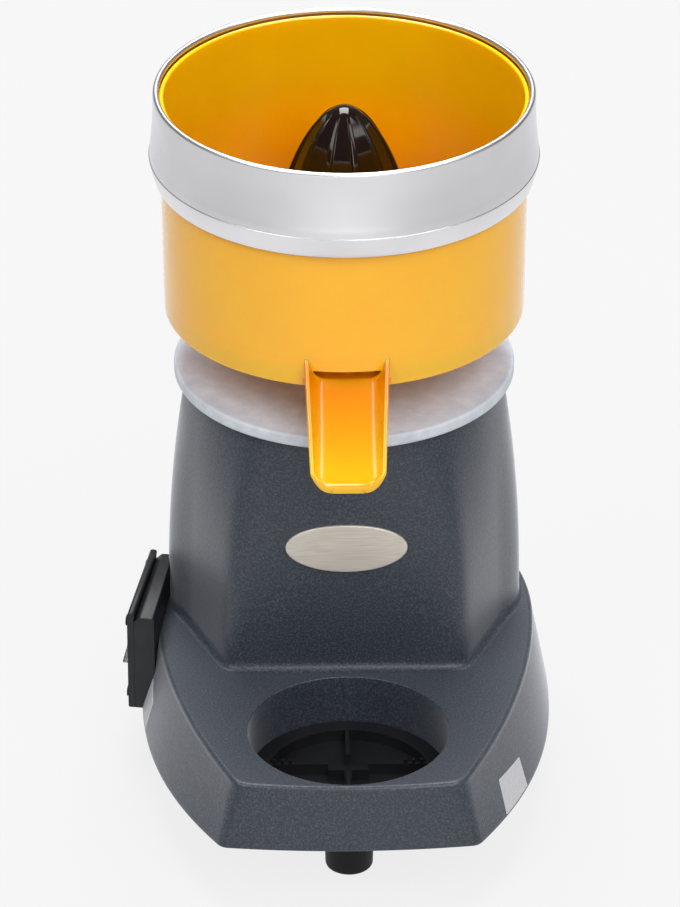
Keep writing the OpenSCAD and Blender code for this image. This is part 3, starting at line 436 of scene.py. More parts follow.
def plain_metal(name, dark, light, roughness, spot):
    """A metal with a soft change of tone over spot millimetres and a roughness that follows it."""
    metal, tree, shader, where = finish(name, {"Metallic": 1.0})
    cloud = node(tree, NOISE, {"Scale": per_mm(spot), "Detail": 4.0}, {"Vector": where})
    tone = node(tree, RAMP, {"stops": [(0.3, dark), (0.7, light)]}, {"Fac": cloud})
    rough = node(tree, RANGE, {"To Min": roughness - 0.06, "To Max": roughness + 0.08}, {"Value": cloud})
    link(tree, shader, {"Base Color": tone, "Roughness": rough})
    return metal


def plain_plastic(name, dark, light, roughness, spot, gloss=0.5):
    """A moulded plastic or rubber with a soft change of tone.

    Its spark-eroded texture is spot millimetres wide, drawn coarser than real to show.
    """
    plastic, tree, shader, where = finish(name, {"IOR": 1.5, "Specular IOR Level": gloss})
    cloud = node(tree, NOISE, {"Scale": per_mm(12 * spot), "Detail": 3.0}, {"Vector": where})
    tone = node(tree, RAMP, {"stops": [(0.3, dark), (0.7, light)]}, {"Fac": cloud})
    grain = node(tree, NOISE, {"Scale": per_mm(spot), "Detail": 2.0}, {"Vector": where})
    rough = node(tree, RANGE, {"To Min": roughness - 0.07, "To Max": roughness + 0.07}, {"Value": grain})
    eroded = node(tree, BUMP, {"Strength": 0.25, "Distance": 0.04 * MM}, {"Height": grain})
    link(tree, shader, {"Base Color": tone, "Roughness": rough, "Normal": eroded})
    return plastic


def brushed_badge():
    """Brushed stainless plate, warm in tone: lines along it, 0.5 mm apart, drawn coarser to show."""
    steel, tree, shader, where = finish("brushed_warm_steel", {"Metallic": 0.7, "Roughness": 0.42})
    along = node(tree, "ShaderNodeMapping", {"Scale": (0.02, 1.0, 1.0)}, {"Vector": where})
    hair = node(tree, NOISE, {"Scale": per_mm(0.5), "Detail": 3.0}, {"Vector": along})
    tone = node(tree, RAMP, {"stops": [(0.25, "#c6beb2"), (0.75, "#ddd6cb")]}, {"Fac": hair})
    brushed = node(tree, BUMP, {"Strength": 0.15, "Distance": 0.04 * MM}, {"Height": hair})
    link(tree, shader, {"Base Color": tone, "Normal": brushed})
    return steel


def cone_plastic():
    """Moulded gloss ABS, near black with a brown cast: a smooth skin with faint flow marks 15 mm long."""
    plastic, tree, shader, where = finish("gloss_dark_brown_abs", {
        "Specular IOR Level": 0.34, "IOR": 1.5, "Subsurface Weight": 0.1, "Subsurface Scale": 3 * MM,
        "Subsurface Radius": (1.0, 0.3, 0.1)})
    flow = node(tree, NOISE, {"Scale": per_mm(15), "Detail": 3.0}, {"Vector": where})
    tone = node(tree, RAMP, {"stops": [(0.3, "#0d0705"), (0.7, "#160a06")]}, {"Fac": flow})
    rough = node(tree, RANGE, {"To Min": 0.05, "To Max": 0.12}, {"Value": flow})
    link(tree, shader, {"Base Color": tone, "Roughness": rough})
    return plastic


def clear_silicone():
    """Clear moulded silicone: milky, soft gloss, thin enough to see the rocker through."""
    silicone, tree, shader, where = finish("clear_silicone", {
        "IOR": 1.41, "Transmission Weight": 0.92, "Base Color": colour("#eef2f2")})
    skin = node(tree, NOISE, {"Scale": per_mm(3), "Detail": 2.0}, {"Vector": where})
    rough = node(tree, RANGE, {"To Min": 0.14, "To Max": 0.3}, {"Value": skin})
    link(tree, shader, {"Roughness": rough})
    return silicone


def paper_label():
    """Coated label paper, blank: pale grey with a faint fibre tone."""
    paper, tree, shader, where = finish("blank_label_paper", {"Roughness": 0.45})
    fibre = node(tree, NOISE, {"Scale": per_mm(1.2), "Detail": 4.0}, {"Vector": where})
    tone = node(tree, RAMP, {"stops": [(0.3, "#b4b4b9"), (0.7, "#c0c0c5")]}, {"Fac": fibre})
    link(tree, shader, {"Base Color": tone})
    return paper


FINISHES = {
    "powder_coat": powder_coat(),
    "amber_plastic": amber_plastic(),
    "spun_aluminium": spun_aluminium(),
    "cast_aluminium": cast_aluminium(),
    "badge_steel": brushed_badge(),
    "dark_brown_plastic": cone_plastic(),
    "clear_silicone": clear_silicone(),
    "sheet_steel": plain_metal("zinc_plated_sheet", "#8d9096", "#a9acb0", 0.42, 14),  # dull grey, cloudy
    "fastener_steel": plain_metal("zinc_plated_steel", "#aeb1b5", "#c3c6ca", 0.32, 4),  # paler grey, satin
    "motor_casting": plain_metal("die_cast_aluminium", "#a2a5aa", "#b6b9bd", 0.5, 6),  # matt silver grey
    "lamination_steel": plain_metal("electrical_steel", "#5f6366", "#75797c", 0.48, 5),  # dark grey, dull
    "enamelled_copper": plain_metal("enamelled_copper", "#8e4318", "#b8652c", 0.34, 3),  # red brown, glossy
    "bearing_steel": plain_metal("ground_bearing_steel", "#c4c7cb", "#d6d9dc", 0.16, 8),  # near mirror
    "capacitor_can": plain_metal("drawn_aluminium_can", "#cfd0d2", "#dddee0", 0.34, 20),  # pale satin
    "shaft_steel": plain_metal("ground_stainless", "#c6c8cb", "#d9dbdd", 0.2, 10),  # bright, smooth
    "rotor_aluminium": plain_metal("cast_rotor_aluminium", "#a9acb0", "#bec1c4", 0.46, 6),  # matt pale grey
    "sieve_steel": plain_metal("slotted_stainless", "#8f9296", "#a3a6aa", 0.4, 12),  # mid grey, satin
    "black_rubber": plain_plastic("black_rubber", "#08080a", "#0d0d0f", 0.6, 0.8, 0.25),  # matt black
    "terminal_plastic": plain_plastic("cream_polyamide", "#d9d5c9", "#e6e2d8", 0.45, 0.8),  # soft cream
    "black_plastic": plain_plastic("black_textured_abs", "#17181b", "#1f2024", 0.48, 0.7, 0.35),  # matt
    "tray_plastic": plain_plastic("black_moulded_abs", "#0c0d10", "#131418", 0.42, 0.9),  # soft gloss
    "rocker_plastic": plain_plastic("gloss_red_plastic", "#7e1712", "#8e1f1a", 0.2, 2.0),  # deep red
}
LABEL_PAPER = paper_label()
BLACK_SCREW = plain_metal("black_oxide_steel", "#232427", "#303135", 0.42, 4)

for entry in frame["record"]["subparts"]:
    cad_mesh = frame["nodes"][entry["node"]].data
    cad_mesh.materials.clear()
    black = entry["node"] == "switch_cover_screws"
    cad_mesh.materials.append(BLACK_SCREW if black else FINISHES[entry["material_slot"]])


# The stand


def flank_sizes(share, inset):
    """Half width where the flank is widest, half width at the front corners, and reach of the front.

    All are at a share of the height from skirt to shelf, drawn in by an inset.
    """
    reach = BASE_R - FLANK_DRAFT * share - inset
    half = BASE_FRONT_HALF - FLANK_DRAFT * share - CORNER_INSET * inset
    front = BASE_FRONT - FRONT_DRAFT * share - inset
    return reach, half, front


def flank_x(y, share, inset=0.0):
    """Half width of the flank at y: from the widest point it falls by a power of the way to the front."""
    reach, half, front = flank_sizes(share, inset)
    middle = mix(SKIRT_MID, SHELF_MID, share)
    forward = (middle - y) / (front - FRONT_BULGE + middle)
    return reach - (reach - half) * forward ** mix(SKIRT_BOW, SHELF_BOW, share)


def flank_outline(share, inset):
    """Whole outline of the flank at a share of its height, drawn in by an inset.

    The right half has a bulged front, a quadratic corner, the flank and a superellipse round the rear;
    the left half is its mirror image.
    """
    reach, half, front = flank_sizes(share, inset)
    corner, middle = mix(SKIRT_CORNER, SHELF_CORNER, share), mix(SKIRT_MID, SHELF_MID, share)
    x_in, y_in = half - corner, corner - front + FRONT_BULGE
    x = np.linspace(0, x_in, 14, endpoint=False)
    front_run = np.stack([x, -front + FRONT_BULGE * (x / half) ** 2], 1)
    t = np.linspace(0, 1, 14, endpoint=False)[:, None]
    start = np.array([x_in, -front + FRONT_BULGE * (x_in / half) ** 2])
    tip = np.array([half, FRONT_BULGE - front])
    end = np.array([flank_x(y_in, share, inset), y_in])
    corner_run = (1 - t) ** 2 * start + 2 * t * (1 - t) * tip + t**2 * end
    y = np.linspace(y_in, middle, 50, endpoint=False)
    flank_run = np.stack([flank_x(y, share, inset), y], 1)
    turn = np.radians(np.linspace(0, 90, 64))
    rear_x = reach * np.abs(np.cos(turn)) ** (2 / REAR_POWER)
    rear_x[-1] = 0
    rear_run = np.stack([rear_x, middle + (reach - middle) * np.sin(turn) ** (2 / REAR_POWER)], 1)
    right = np.concatenate([front_run, corner_run, flank_run, rear_run])
    return np.concatenate([right, right[-2:0:-1] * [-1, 1]])


SHELF_EDGE = flank_outline(1, EDGE_FILLET)
BEARING = np.degrees(np.arctan2(np.abs(SHELF_EDGE[:, 0]), -SHELF_EDGE[:, 1]))
SIDE = np.where(SHELF_EDGE[:, 0] < 0, -1.0, 1.0)


def foot_radius(bearing):
    """Radius of the tower's foot: a power mean of a front and a side flat, eased into the round back."""
    front = np.maximum(np.cos(np.radians(bearing)), 0) / TOWER_FRONT
    side = np.maximum(np.cos(np.radians(bearing - FLAT_BEARING)), 0) / FLAT_DISTANCE
    flats = np.maximum(front**FLAT_POWER + side**FLAT_POWER, 1e-60) ** (-1 / FLAT_POWER)
    eased = mix(flats, TOWER_FOOT_R, smooth_step((bearing - FLAT_END) / (BACK_START - FLAT_END)))
    return np.where(bearing > BACK_START, TOWER_FOOT_R, eased)


def tower_radius(bearing, z):
    """Foot radius that goes over to the round deck by a power of the height share."""
    share = np.maximum(0, (z - SHELF_Z) / (DECK_Z - SHELF_Z))
    return mix(foot_radius(bearing), TOWER_TOP_R, share**TOWER_SWELL)


def polar(radius, z):
    """Points at the outline's bearings, 0 at the front, with a radius and a height for each."""
    b = np.radians(BEARING)
    return np.stack([SIDE * radius * np.sin(b), -radius * np.cos(b), np.broadcast_to(z, b.shape)], 1)


def level(outline, z):
    """A plan outline at one height."""
    return np.column_stack([outline, np.full(len(outline), z)])


def sheet_with_holes(outer, *holes):
    """Flat triangles between an outer loop and loops inside it; triangles whose middle is in a hole go."""
    loops = [np.asarray(loop)[:, :2] for loop in (outer, *holes)]
    start = np.cumsum([0] + [len(loop) for loop in loops])
    runs = [first + np.arange(len(loop)) for loop, first in zip(loops, start)]
    edges = np.concatenate([np.stack([run, np.roll(run, -1)], 1) for run in runs])
    found = delaunay_2d_cdt(np.concatenate(loops).tolist(), edges.tolist(), [], 1, 1e-7)
    spots = np.array(found[0])
    triangles = np.array(found[2])
    middle = spots[triangles].mean(1)
    keep = np.ones(len(triangles), bool)
    for loop in loops[1:]:
        heart = loop.mean(0)
        turn = np.arctan2(*(loop - heart).T[::-1])
        order = np.argsort(turn)
        reach = np.linalg.norm(loop - heart, axis=1)[order]
        spot = middle - heart
        limit = np.interp(np.arctan2(spot[:, 1], spot[:, 0]), turn[order], reach, period=2 * math.pi)
        keep &= np.linalg.norm(spot, axis=1) > limit
    return np.column_stack([spots, np.full(len(spots), outer[0][2])]), triangles[keep]


def skirt_rows():
    """Outlines up the flank: inner wall, rounded lower edge, lofted side and the shelf's edge."""
    shelf_side = SHELF_Z - EDGE_FILLET
    rows = [level(flank_outline(0.18, WALL), SKIRT_Z + TUCK), level(flank_outline(0, WALL), SKIRT_Z)]
    for a in QUARTER_TURN[::2]:
        inset = UNDER_EDGE * (1 - math.sin(a))
        rows.append(level(flank_outline(0, inset), SKIRT_Z + UNDER_EDGE * (1 - math.cos(a))))
    for share in np.linspace(0.04, 0.96, 14):
        rows.append(level(flank_outline(share, 0), mix(SKIRT_Z + UNDER_EDGE, shelf_side, share)))
    for a in QUARTER_TURN:
        inset = EDGE_FILLET * (1 - math.cos(a))
        rows.append(level(flank_outline(1, inset), SHELF_Z - EDGE_FILLET * (1 - math.sin(a))))
    return rows


def stand():
    """Cast stand: lofted flank and tower, flat shelf with a well, rounded edges, fillet at the foot."""
    shelf_reach = np.linalg.norm(SHELF_EDGE, axis=1)
    foot = foot_radius(BEARING)
    fillet = np.minimum(CREASE_FILLET, 0.5 * (shelf_reach - foot))
    flat = np.minimum(EDGE_FLAT, 0.3 * (shelf_reach - foot - fillet))
    skirt = skirt_rows()
    inner_edge = polar(shelf_reach - flat, SHELF_Z)
    flank = grid_part(np.stack(skirt + [inner_edge]))
    outer_foot = polar(foot + fillet + flat, SHELF_Z)
    crease = [polar(foot + fillet * (1 - math.sin(a)), SHELF_Z + fillet * (1 - math.cos(a)))
              for a in QUARTER_TURN]
    column = [polar(tower_radius(BEARING, z), z) for z in mix(SHELF_Z, DECK_Z, np.linspace(0, 1, 48)[3:])]
    tower = grid_part(np.stack([outer_foot] + crease + column))
    rim_arc = np.column_stack([WELL_R + WELL_EDGE * (1 - np.sin(QUARTER_TURN)),
                               SHELF_Z - WELL_EDGE * (1 - np.cos(QUARTER_TURN))])
    rim_flat = [[WELL_R + WELL_EDGE + EDGE_FLAT, SHELF_Z]]
    well_wall = [[WELL_R, SHELF_Z - 14], [WELL_R, WELL_FLOOR]]
    well = turned(np.concatenate([rim_flat, rim_arc, well_wall]), centre=(0, WELL_Y))
    cup_r = WELL_R + CUP_WALL
    cup_profile = [[cup_r, SKIRT_Z + TUCK], [cup_r, CUP_UNDER + 1], [cup_r - 1, CUP_UNDER]]
    cup = turned(np.array(cup_profile), centre=(0, WELL_Y))
    sheets = [sheet_with_holes(inner_edge, outer_foot, well[0]), sheet_with_holes(skirt[0], cup[0])]
    caps = [cap_part(column[-1]), cap_part(well[-1]), cap_part(cup[-1])]
    return [flank, tower, grid_part(well), grid_part(cup)] + caps + sheets


piece("stand", stand(), FINISHES["powder_coat"], "base", ["base_casting"], crease=50)


def badge():
    """Oval plate that follows the tower's front: rings of the oval, raised from the tower, edge rounded."""
    raised, edge_drop, edge_share, sunk = 1.2, 0.5, 0.03, -0.6
    half_w = BADGE_HIGH[0]
    half_h, z_mid = (BADGE_HIGH[2] - BADGE_LOW[2]) / 2, (BADGE_HIGH[2] + BADGE_LOW[2]) / 2
    turn = np.radians(np.arange(0, 360, 3.0))
    edge = np.radians(np.linspace(0, 90, 7))
    face = np.linspace(0.02, 0.94, 12)
    edge_lift = raised - edge_drop * (1 - np.cos(edge))
    shares = np.concatenate([face, 1 - edge_share * (1 - np.sin(edge)), [1.0, 0.5]])[:, None]
    lift = np.concatenate([np.full(len(face), raised), edge_lift, [sunk, sunk]])[:, None]
    x, z = half_w * shares * np.cos(turn), z_mid + half_h * shares * np.sin(turn)
    bearing = np.degrees(np.arctan2(np.abs(x), TOWER_FRONT))
    y = -tower_radius(bearing, z) * np.cos(np.radians(bearing)) - lift
    grid = np.stack([x, y, z], 2)
    return [grid_part(grid), cap_part(grid[0]), cap_part(grid[-1])]


piece("badge", badge(), FINISHES["badge_steel"], "base", ["badge_plate"])


def rubber_foot(x, y, height):
    """Turned rubber foot: slightly tapered, rounded at the floor, with the screw's recess underneath."""
    recess_r, recess_h, hole_r, floor_r, top_r = 5.3, 8, 2.6, 11.8, 12.4
    outline = rounded([(recess_r, 0, 0.6), (floor_r, 0, 2.2), (top_r, height, 0.8), (hole_r, height, 0.2),
                       (hole_r, recess_h, 0.2), (recess_r, recess_h, 0.3)])
    return [turned_ring(outline, (x, y), 5.0)]


for foot_name in ("front_foot", "rear_left_foot", "rear_right_foot"):
    foot_low, foot_high = (np.array(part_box(foot_name)) - SPINDLE) / MM
    foot_x, foot_y, _ = (foot_low + foot_high) / 2
    piece(foot_name + "_rubber", rubber_foot(foot_x, foot_y, foot_high[2]),
          FINISHES["black_rubber"], "base", [foot_name])


def seat_disc():
    """Cast seat plate: a disc with a rounded rim, a raised hub and a bore for the shaft seal."""
    seal_z, roof_z = HUB_TOP - 7, HUB_TOP - 10
    outline = rounded([
        (HUB_HOLLOW_R, DECK_Z, 0.3), (SEAT_R, DECK_Z, 1.6), (SEAT_R, SEAT_TOP, 1.8), (HUB_R, SEAT_TOP, 4),
        (HUB_R, HUB_TOP, 1.5), (SEAL_R, HUB_TOP, 0.4), (SEAL_R, seal_z, 0.3), (SHAFT_HOLE_R, seal_z, 0.3),
        (SHAFT_HOLE_R, roof_z, 0.3), (HUB_HOLLOW_R, roof_z, 1.0)])
    return [turned_ring(outline)]


piece("seat_disc", seat_disc(), FINISHES["cast_aluminium"], "base", ["seat_plate"])


# The bowl and its spout


def bowl_wall(z, inwards=0.0):
    """Points up the bowl's wall, drawn inwards: a straight draft of the outer radius from floor to rim."""
    radius = mix(BOWL_R, BOWL_RIM_R, (z - HUB_TOP) / (BOWL_TOP - HUB_TOP))
    return np.column_stack([radius - inwards, z])


def bowl_shell():
    """Turned bowl: rounded floor corner, drafted wall, round rim, sieve ledge and chimney.

    An outlet is cut through the wall at the front: its faces are left out of the grid, inside and outside,
    and its border is joined by a short tunnel.
    """
    gate_rows, gate_columns = 4, 10
    lip = BOWL_WALL / 2
    corner = np.column_stack([BOWL_R - FLOOR_CORNER * (1 - np.sin(QUARTER_TURN)),
                              HUB_TOP + FLOOR_CORNER * (1 - np.cos(QUARTER_TURN))])
    gate_out = bowl_wall(np.linspace(HUB_TOP + FLOOR_CORNER, OUTLET_HIGH, gate_rows))
    wall_out = bowl_wall(np.linspace(OUTLET_HIGH + 4, BOWL_TOP - lip, 16))
    lap = np.radians(np.linspace(0, 180, 13))
    rim = np.column_stack([BOWL_RIM_R - lip + lip * np.cos(lap), BOWL_TOP - lip + lip * np.sin(lap)])
    wall_in = bowl_wall(np.linspace(BOWL_TOP - 4, SIEVE_Z, 14), BOWL_WALL)
    inner_r = BOWL_R - BOWL_WALL
    ledge = np.array([[LEDGE_R, SIEVE_Z], [LEDGE_R, SIEVE_Z - 2], [inner_r, SIEVE_Z - 2.6]])
    gate_z = np.linspace(OUTLET_HIGH, BOWL_FLOOR, gate_rows)
    gate_in = np.column_stack([np.full(gate_rows, inner_r), gate_z])
    skirt_z, skirt_in, skirt_out = HUB_TOP - SKIRT_RING_DEPTH, HUB_R + 0.4, HUB_R + 3
    chimney = np.array([[CHIMNEY_OUT + 2, BOWL_FLOOR], [CHIMNEY_OUT, BOWL_FLOOR + 2],
                        [CHIMNEY_OUT, CHIMNEY_TOP - 0.8], [CHIMNEY_OUT - 0.8, CHIMNEY_TOP],
                        [CHIMNEY_IN, CHIMNEY_TOP], [CHIMNEY_IN, HUB_TOP]])
    skirt = np.array([[skirt_in, HUB_TOP], [skirt_in, skirt_z], [skirt_out, skirt_z], [skirt_out, HUB_TOP]])
    runs = [corner, gate_out, wall_out, rim, wall_in, ledge, gate_in, chimney, skirt]
    first_out = len(corner)
    last_in = sum(len(run) for run in runs[:7]) - 1
    angles = np.concatenate([np.linspace(-90 - OUTLET_TURN, -90 + OUTLET_TURN, gate_columns + 1),
                             np.linspace(-90 + OUTLET_TURN, 270 - OUTLET_TURN, 170)[1:-1]])
    vertices, faces = grid_part(turned(np.concatenate(runs), angles), close_rows=True)
    columns = len(angles)
    row, column = np.divmod(np.arange(len(faces)), columns)
    from_out, from_in = row - first_out, last_in - 1 - row
    gap = gate_rows - 1
    in_rows = ((from_out >= 0) & (from_out < gap)) | ((from_in >= 0) & (from_in < gap))
    in_gate = (column < gate_columns) & in_rows
    across, up = np.arange(gate_columns + 1), np.arange(gate_rows)
    border = [(0 * across, across), (0 * across + gap, across), (up, 0 * up), (up, 0 * up + gate_columns)]
    tunnel = []
    for step, side in border:
        out, back = (first_out + step) * columns + side, (last_in - step) * columns + side
        tunnel.append(np.stack([out[:-1], out[1:], back[1:], back[:-1]], 1))
    return vertices, np.concatenate([faces[~in_gate]] + tunnel)


def spout():
    """Trough carried along the spout: a power-7 curve from floor to rim, inside and out, with a round rim.

    The half width narrows round an elliptic corner at the tip, the rim sinks from the root to the tip, the
    floor bends down by a hyperbola at the root and falls over a round nose at the very end.
    """
    corner, corner_side, nose = 3.4, 4.3, 1.8
    root, reach = BOWL_R - 2.6, BOWL_R + SPOUT_LEN
    bend_y, bend_z, bend = BOWL_R - 4.5, BOWL_FLOOR + 1.7, 1.0
    under, under_tip = 3.2, 1.2
    rim_r = SPOUT_WALL / 2
    tip_turn = np.radians(np.linspace(4, 90, 20))
    bow = reach - corner
    y = np.concatenate([np.linspace(root, bow, 22), bow + corner * np.sin(tip_turn)])[:, None]
    t = (y - root) / (reach - root)
    past = np.clip(y - bow, 0, corner)
    half = mix(SPOUT_HALF, SPOUT_TIP_HALF, t) - corner_side * (1 - np.sqrt(1 - (past / corner) ** 2))
    run = y - bend_y
    bed = bend_z - SPOUT_SLOPE * (run + np.sqrt(run**2 + bend**2)) / 2
    drop = np.clip(y - (reach - nose), 0, nose)
    fall = nose - np.sqrt(np.maximum(nose**2 - drop**2, 0))
    low_out = bed - under - under_tip * t
    low_in = np.maximum(bed - fall, low_out + 0.4)
    high = np.maximum(bed + mix(SPOUT_RIM, SPOUT_TIP_RIM, t**0.9) - 0.8 * fall, low_out + 0.8)
    u = np.sin(np.radians(np.linspace(-90, 90, 41)))
    rise = np.abs(u) ** TROUGH_POWER
    over = np.radians(np.linspace(0, 180, 7)[1:-1])
    rim_x, rim_z = half - rim_r - rim_r * np.cos(over), high + rim_r * np.sin(over)
    left_x = -(half - rim_r + rim_r * np.cos(over))
    x = np.concatenate([(half - SPOUT_WALL) * u, rim_x, half * -u, left_x], 1)
    z = np.concatenate([mix(low_in, high, rise), rim_z, mix(low_out, high, rise), rim_z], 1)
    grid = np.stack([x, np.broadcast_to(-y, x.shape), z], 2)
    vertices, faces = grid_part(grid)
    return [(vertices, faces)] + spout_ends(vertices, len(y), len(u), len(over))


def spout_ends(vertices, rows, across, over):
    """Flat ends of the trough: quads from the inside curve to the outside one, and a face over each rim."""
    k = np.arange(across - 1)
    opposite = 2 * across + over - 1 - k
    right_rim = np.arange(across - 1, across + over + 1)
    left_rim = np.append(np.arange(2 * across + over - 1, 2 * across + 2 * over), 0)
    ends = []
    for first in (0, (rows - 1) * 2 * (across + over)):
        ends.append((vertices, first + np.stack([k, k + 1, opposite - 1, opposite], 1)))
        ends.append((vertices, first + right_rim[None, :]))
        ends.append((vertices, first + left_rim[None, :]))
    return ends


piece("bowl", [bowl_shell()] + spout(), FINISHES["amber_plastic"], "bowl", ["juice_bowl"])


def ring_shell():
    """Spun splash ring: drawn in below a creased shoulder, eased above it, with a round roll on top."""
    crease_step = 0.35
    roll_points = 22
    outer = np.array([(-0.2, 0, 0.4), (0.5, 2.2, 1.0), (1.35, 5.5, 1.5), (2.0, 8.25, 1.5),
                      (SHOULDER, 10.9, 0.15), (SHOULDER - crease_step, 11.1, 0.2), (2.0, 14, 1.5),
                      (1.55, 17, 2.5), (0.9, 23, 3), (0.2, 31, 4)])
    outer[:, :2] += [RING_R, RING_LOW]
    outer = np.append(outer, [(RING_R, BOWL_TOP + 1.0, 0.1)], 0)
    turn = np.radians(np.linspace(5, 240, roll_points))
    roll = np.column_stack([RING_R - LIP_R + LIP_R * np.cos(turn), BOWL_TOP + LIP_R + LIP_R * np.sin(turn),
                            np.full(roll_points, 0.05)])
    inner = outer[::-1] - [RING_T, 0, 0]
    inner[0] = [RING_R - RING_T, BOWL_TOP - 0.4, 0.1]
    return [turned_ring(rounded(np.concatenate([outer, roll, inner])), step=1.5)]


piece("ring", ring_shell(), FINISHES["spun_aluminium"], "ring", ["splash_ring"])


def fluted_cone():
    """Reamer: ridge line r = R (1 - (1 - h/H)^1.8)^0.56, with ten flat flutes sunk between narrow ribs.

    Across a flute the skin is a plane, 1/cos of the angle from its middle, drawn in by a step; a cubic ease
    takes it up to the rib. The flutes come in just below the tip and run out towards the foot.
    """
    steps, half_flute, ease, plane_share = 60, 14.0, 2.6, 0.945
    flute_start, flute_lead = 1, 5
    shallow, shallow_from, shallow_over = 0.75, 0.55 * CONE_H, 0.4 * CONE_H
    hub_r, bush_r, hollow_h, bush_h = 13.0, 9.6, 30, 38
    h = CONE_H * np.concatenate([[0.0005], np.linspace(0.04, 1, 80) ** 1.7])[:, None]
    turn = np.arange(CONE_RIBS * steps)
    off = (2 * ((turn % steps) / steps) - 1) * 180 / CONE_RIBS
    plane = np.cos(np.radians(half_flute)) / np.cos(np.radians(off))
    sunk = 1 - smooth_step((np.abs(off) - half_flute + ease / 2) / ease)
    run_out = 1 - shallow * smooth_step((h - shallow_from) / shallow_over)
    depth = smooth_step((h - flute_start) / flute_lead) * run_out
    ridge = CONE_R * (1 - (1 - h / CONE_H) ** 1.8) ** 0.56
    r = ridge * (1 - depth * sunk * (1 - plane_share * plane))
    a = np.radians(CONE_TURN + 360 * turn / len(turn))
    skin = np.stack([r * np.cos(a), r * np.sin(a), np.broadcast_to(CONE_LOW + CONE_H - h, r.shape)], 2)
    hollow = np.array([[CONE_R * 0.84, 0], [CONE_R * 0.6, hollow_h], [hub_r, hollow_h], [hub_r, 0],
                       [bush_r, 0], [bush_r, bush_h]]) + [0, CONE_LOW]
    grid = np.concatenate([skin, turned(hollow, np.degrees(a))])
    return [grid_part(grid), cap_part(grid[0]), cap_part(grid[-1])]


piece("cone", fluted_cone(), FINISHES["dark_brown_plastic"], "cone", ["reamer_cone"],
      crease=60)


# The switch box on the left flank: its own frame has x inwards, y to the rear and z up

BOX_AT = np.array([-105.5, -29.0, 0.0])
BOX_TILT = math.radians(-9.7)
BOX_COS, BOX_SIN = math.cos(BOX_TILT), math.sin(BOX_TILT)
BOX_AXES = np.array([[BOX_COS, BOX_SIN, 0], [-BOX_SIN, BOX_COS, 0], [0, 0, 1]])
BOX_HALF = 32.5
BOX_EDGE = 0.5
HOUSING_REAR_X = 11.6
CAP_HALF = 13
CAP_EDGE = 0.6


def shrunk(outline, edge):
    """An outline drawn in towards its middle by about an edge."""
    heart = outline.mean(0)
    return heart + (outline - heart) * (1 - edge / np.abs(outline - heart).max())


def extruded(front, rear, half, edge):
    """Straight blend along y from a front outline to a rear one, in x and z of the box, ends drawn in."""
    rows = [(shrunk(front, edge), -half), (front, edge - half),
            (rear, half - edge), (shrunk(rear, edge), half)]
    local = np.stack([np.column_stack([o[:, 0], np.full(len(o), y), o[:, 1]]) for o, y in rows])
    grid = BOX_AT + local @ BOX_AXES
    return [grid_part(grid), cap_part(grid[0]), cap_part(grid[-1])]


HOUSING = rounded([(3.45, 28, 0.2), (14, 28, 0.8), (14, 82, 1.4), (6.4, 82, 1.0), (3.45, 79.2, 0.6)])
HOUSING_REAR = np.column_stack([np.minimum(HOUSING[:, 0], HOUSING_REAR_X), HOUSING[:, 1]])
LID = rounded([(0, 28, 0.8), (3.4, 28, 0.2), (3.4, 80.5, 0.5), (3.9, 84.2, 2.2), (0, 84.2, 2.2)])
CAP = rounded([(0, 42, 0.3), (-6.8, 42, 1.2), (-3.9, 53, 2.5), (-3.6, 69.5, 1.5), (0, 70, 0.3)])
piece("switch_housing", extruded(HOUSING, HOUSING_REAR, BOX_HALF, BOX_EDGE),
      FINISHES["black_plastic"], "base", ["switch_box"])
piece("switch_lid", extruded(LID, LID, BOX_HALF, BOX_EDGE),
      FINISHES["black_plastic"], "base", ["switch_cover"])
piece("switch_cap", extruded(CAP, CAP, CAP_HALF, CAP_EDGE),
      FINISHES["clear_silicone"], "base", ["switch_boot"])


def gland():
    """Cable gland turned about a level axis: flange, tapering dome and the bore for the cord."""
    bore_r, flange_r, length = 3.6, 11, 14
    outline = rounded([(bore_r, 0, 0.1), (flange_r, 0, 0.3), (flange_r, 3, 0.8), (9.2, 3.2, 0.6),
                       (7.8, 11, 1.5), (5.6, length, 1.2), (bore_r, length, 0.6)])
    upright = turned(outline, np.arange(0, 360, 5.0))
    start_y = GLAND_HIGH[1] - length
    axis_z = (GLAND_LOW[2] + GLAND_HIGH[2]) / 2
    return [grid_part(upright[..., [0, 2, 1]] + [0, start_y, axis_z], close_rows=True)]


piece("cord_gland", gland(), FINISHES["black_plastic"], "base", ["cable_gland"])


def flank_patch(corners, side, raised=0.25, sunk=-0.2):
    """A blank label on the flank: a bilinear patch in y and z between four corners, raised on the flank."""
    corners = np.array(corners, float)
    u, v = np.meshgrid(np.linspace(0, 1, 13), np.linspace(0, 1, 9), indexing="xy")
    u, v = u[..., None], v[..., None]
    spot = mix(mix(corners[0], corners[1], u), mix(corners[3], corners[2], u), v)
    y, z = spot[..., 0], spot[..., 1]
    low, high = SKIRT_Z + UNDER_EDGE, SHELF_Z - EDGE_FILLET
    x = flank_x(y, (z - low) / (high - low))
    sheets = [np.stack([side * (x + lift), y, z], 2) for lift in (raised, sunk)]
    edge = [np.concatenate([g[0], g[1:, -1], g[-1, -2::-1], g[-2:0:-1, 0]]) for g in sheets]
    return [grid_part(g, close_columns=False) for g in sheets] + [grid_part(np.stack(edge))]


RIGHT_LABEL = [(-159.3, 45.4), (-134.1, 42.6), (-140.1, 29.8), (-166.4, 29.6)]
LEFT_LABEL = [(-64.5, 47), (-66, 30), (-85, 30), (-80, 42)]
piece("right_label", flank_patch(RIGHT_LABEL, 1), LABEL_PAPER, "base")
piece("left_label", flank_patch(LEFT_LABEL, -1), LABEL_PAPER, "base")


# Floor and light, in metres, and the camera


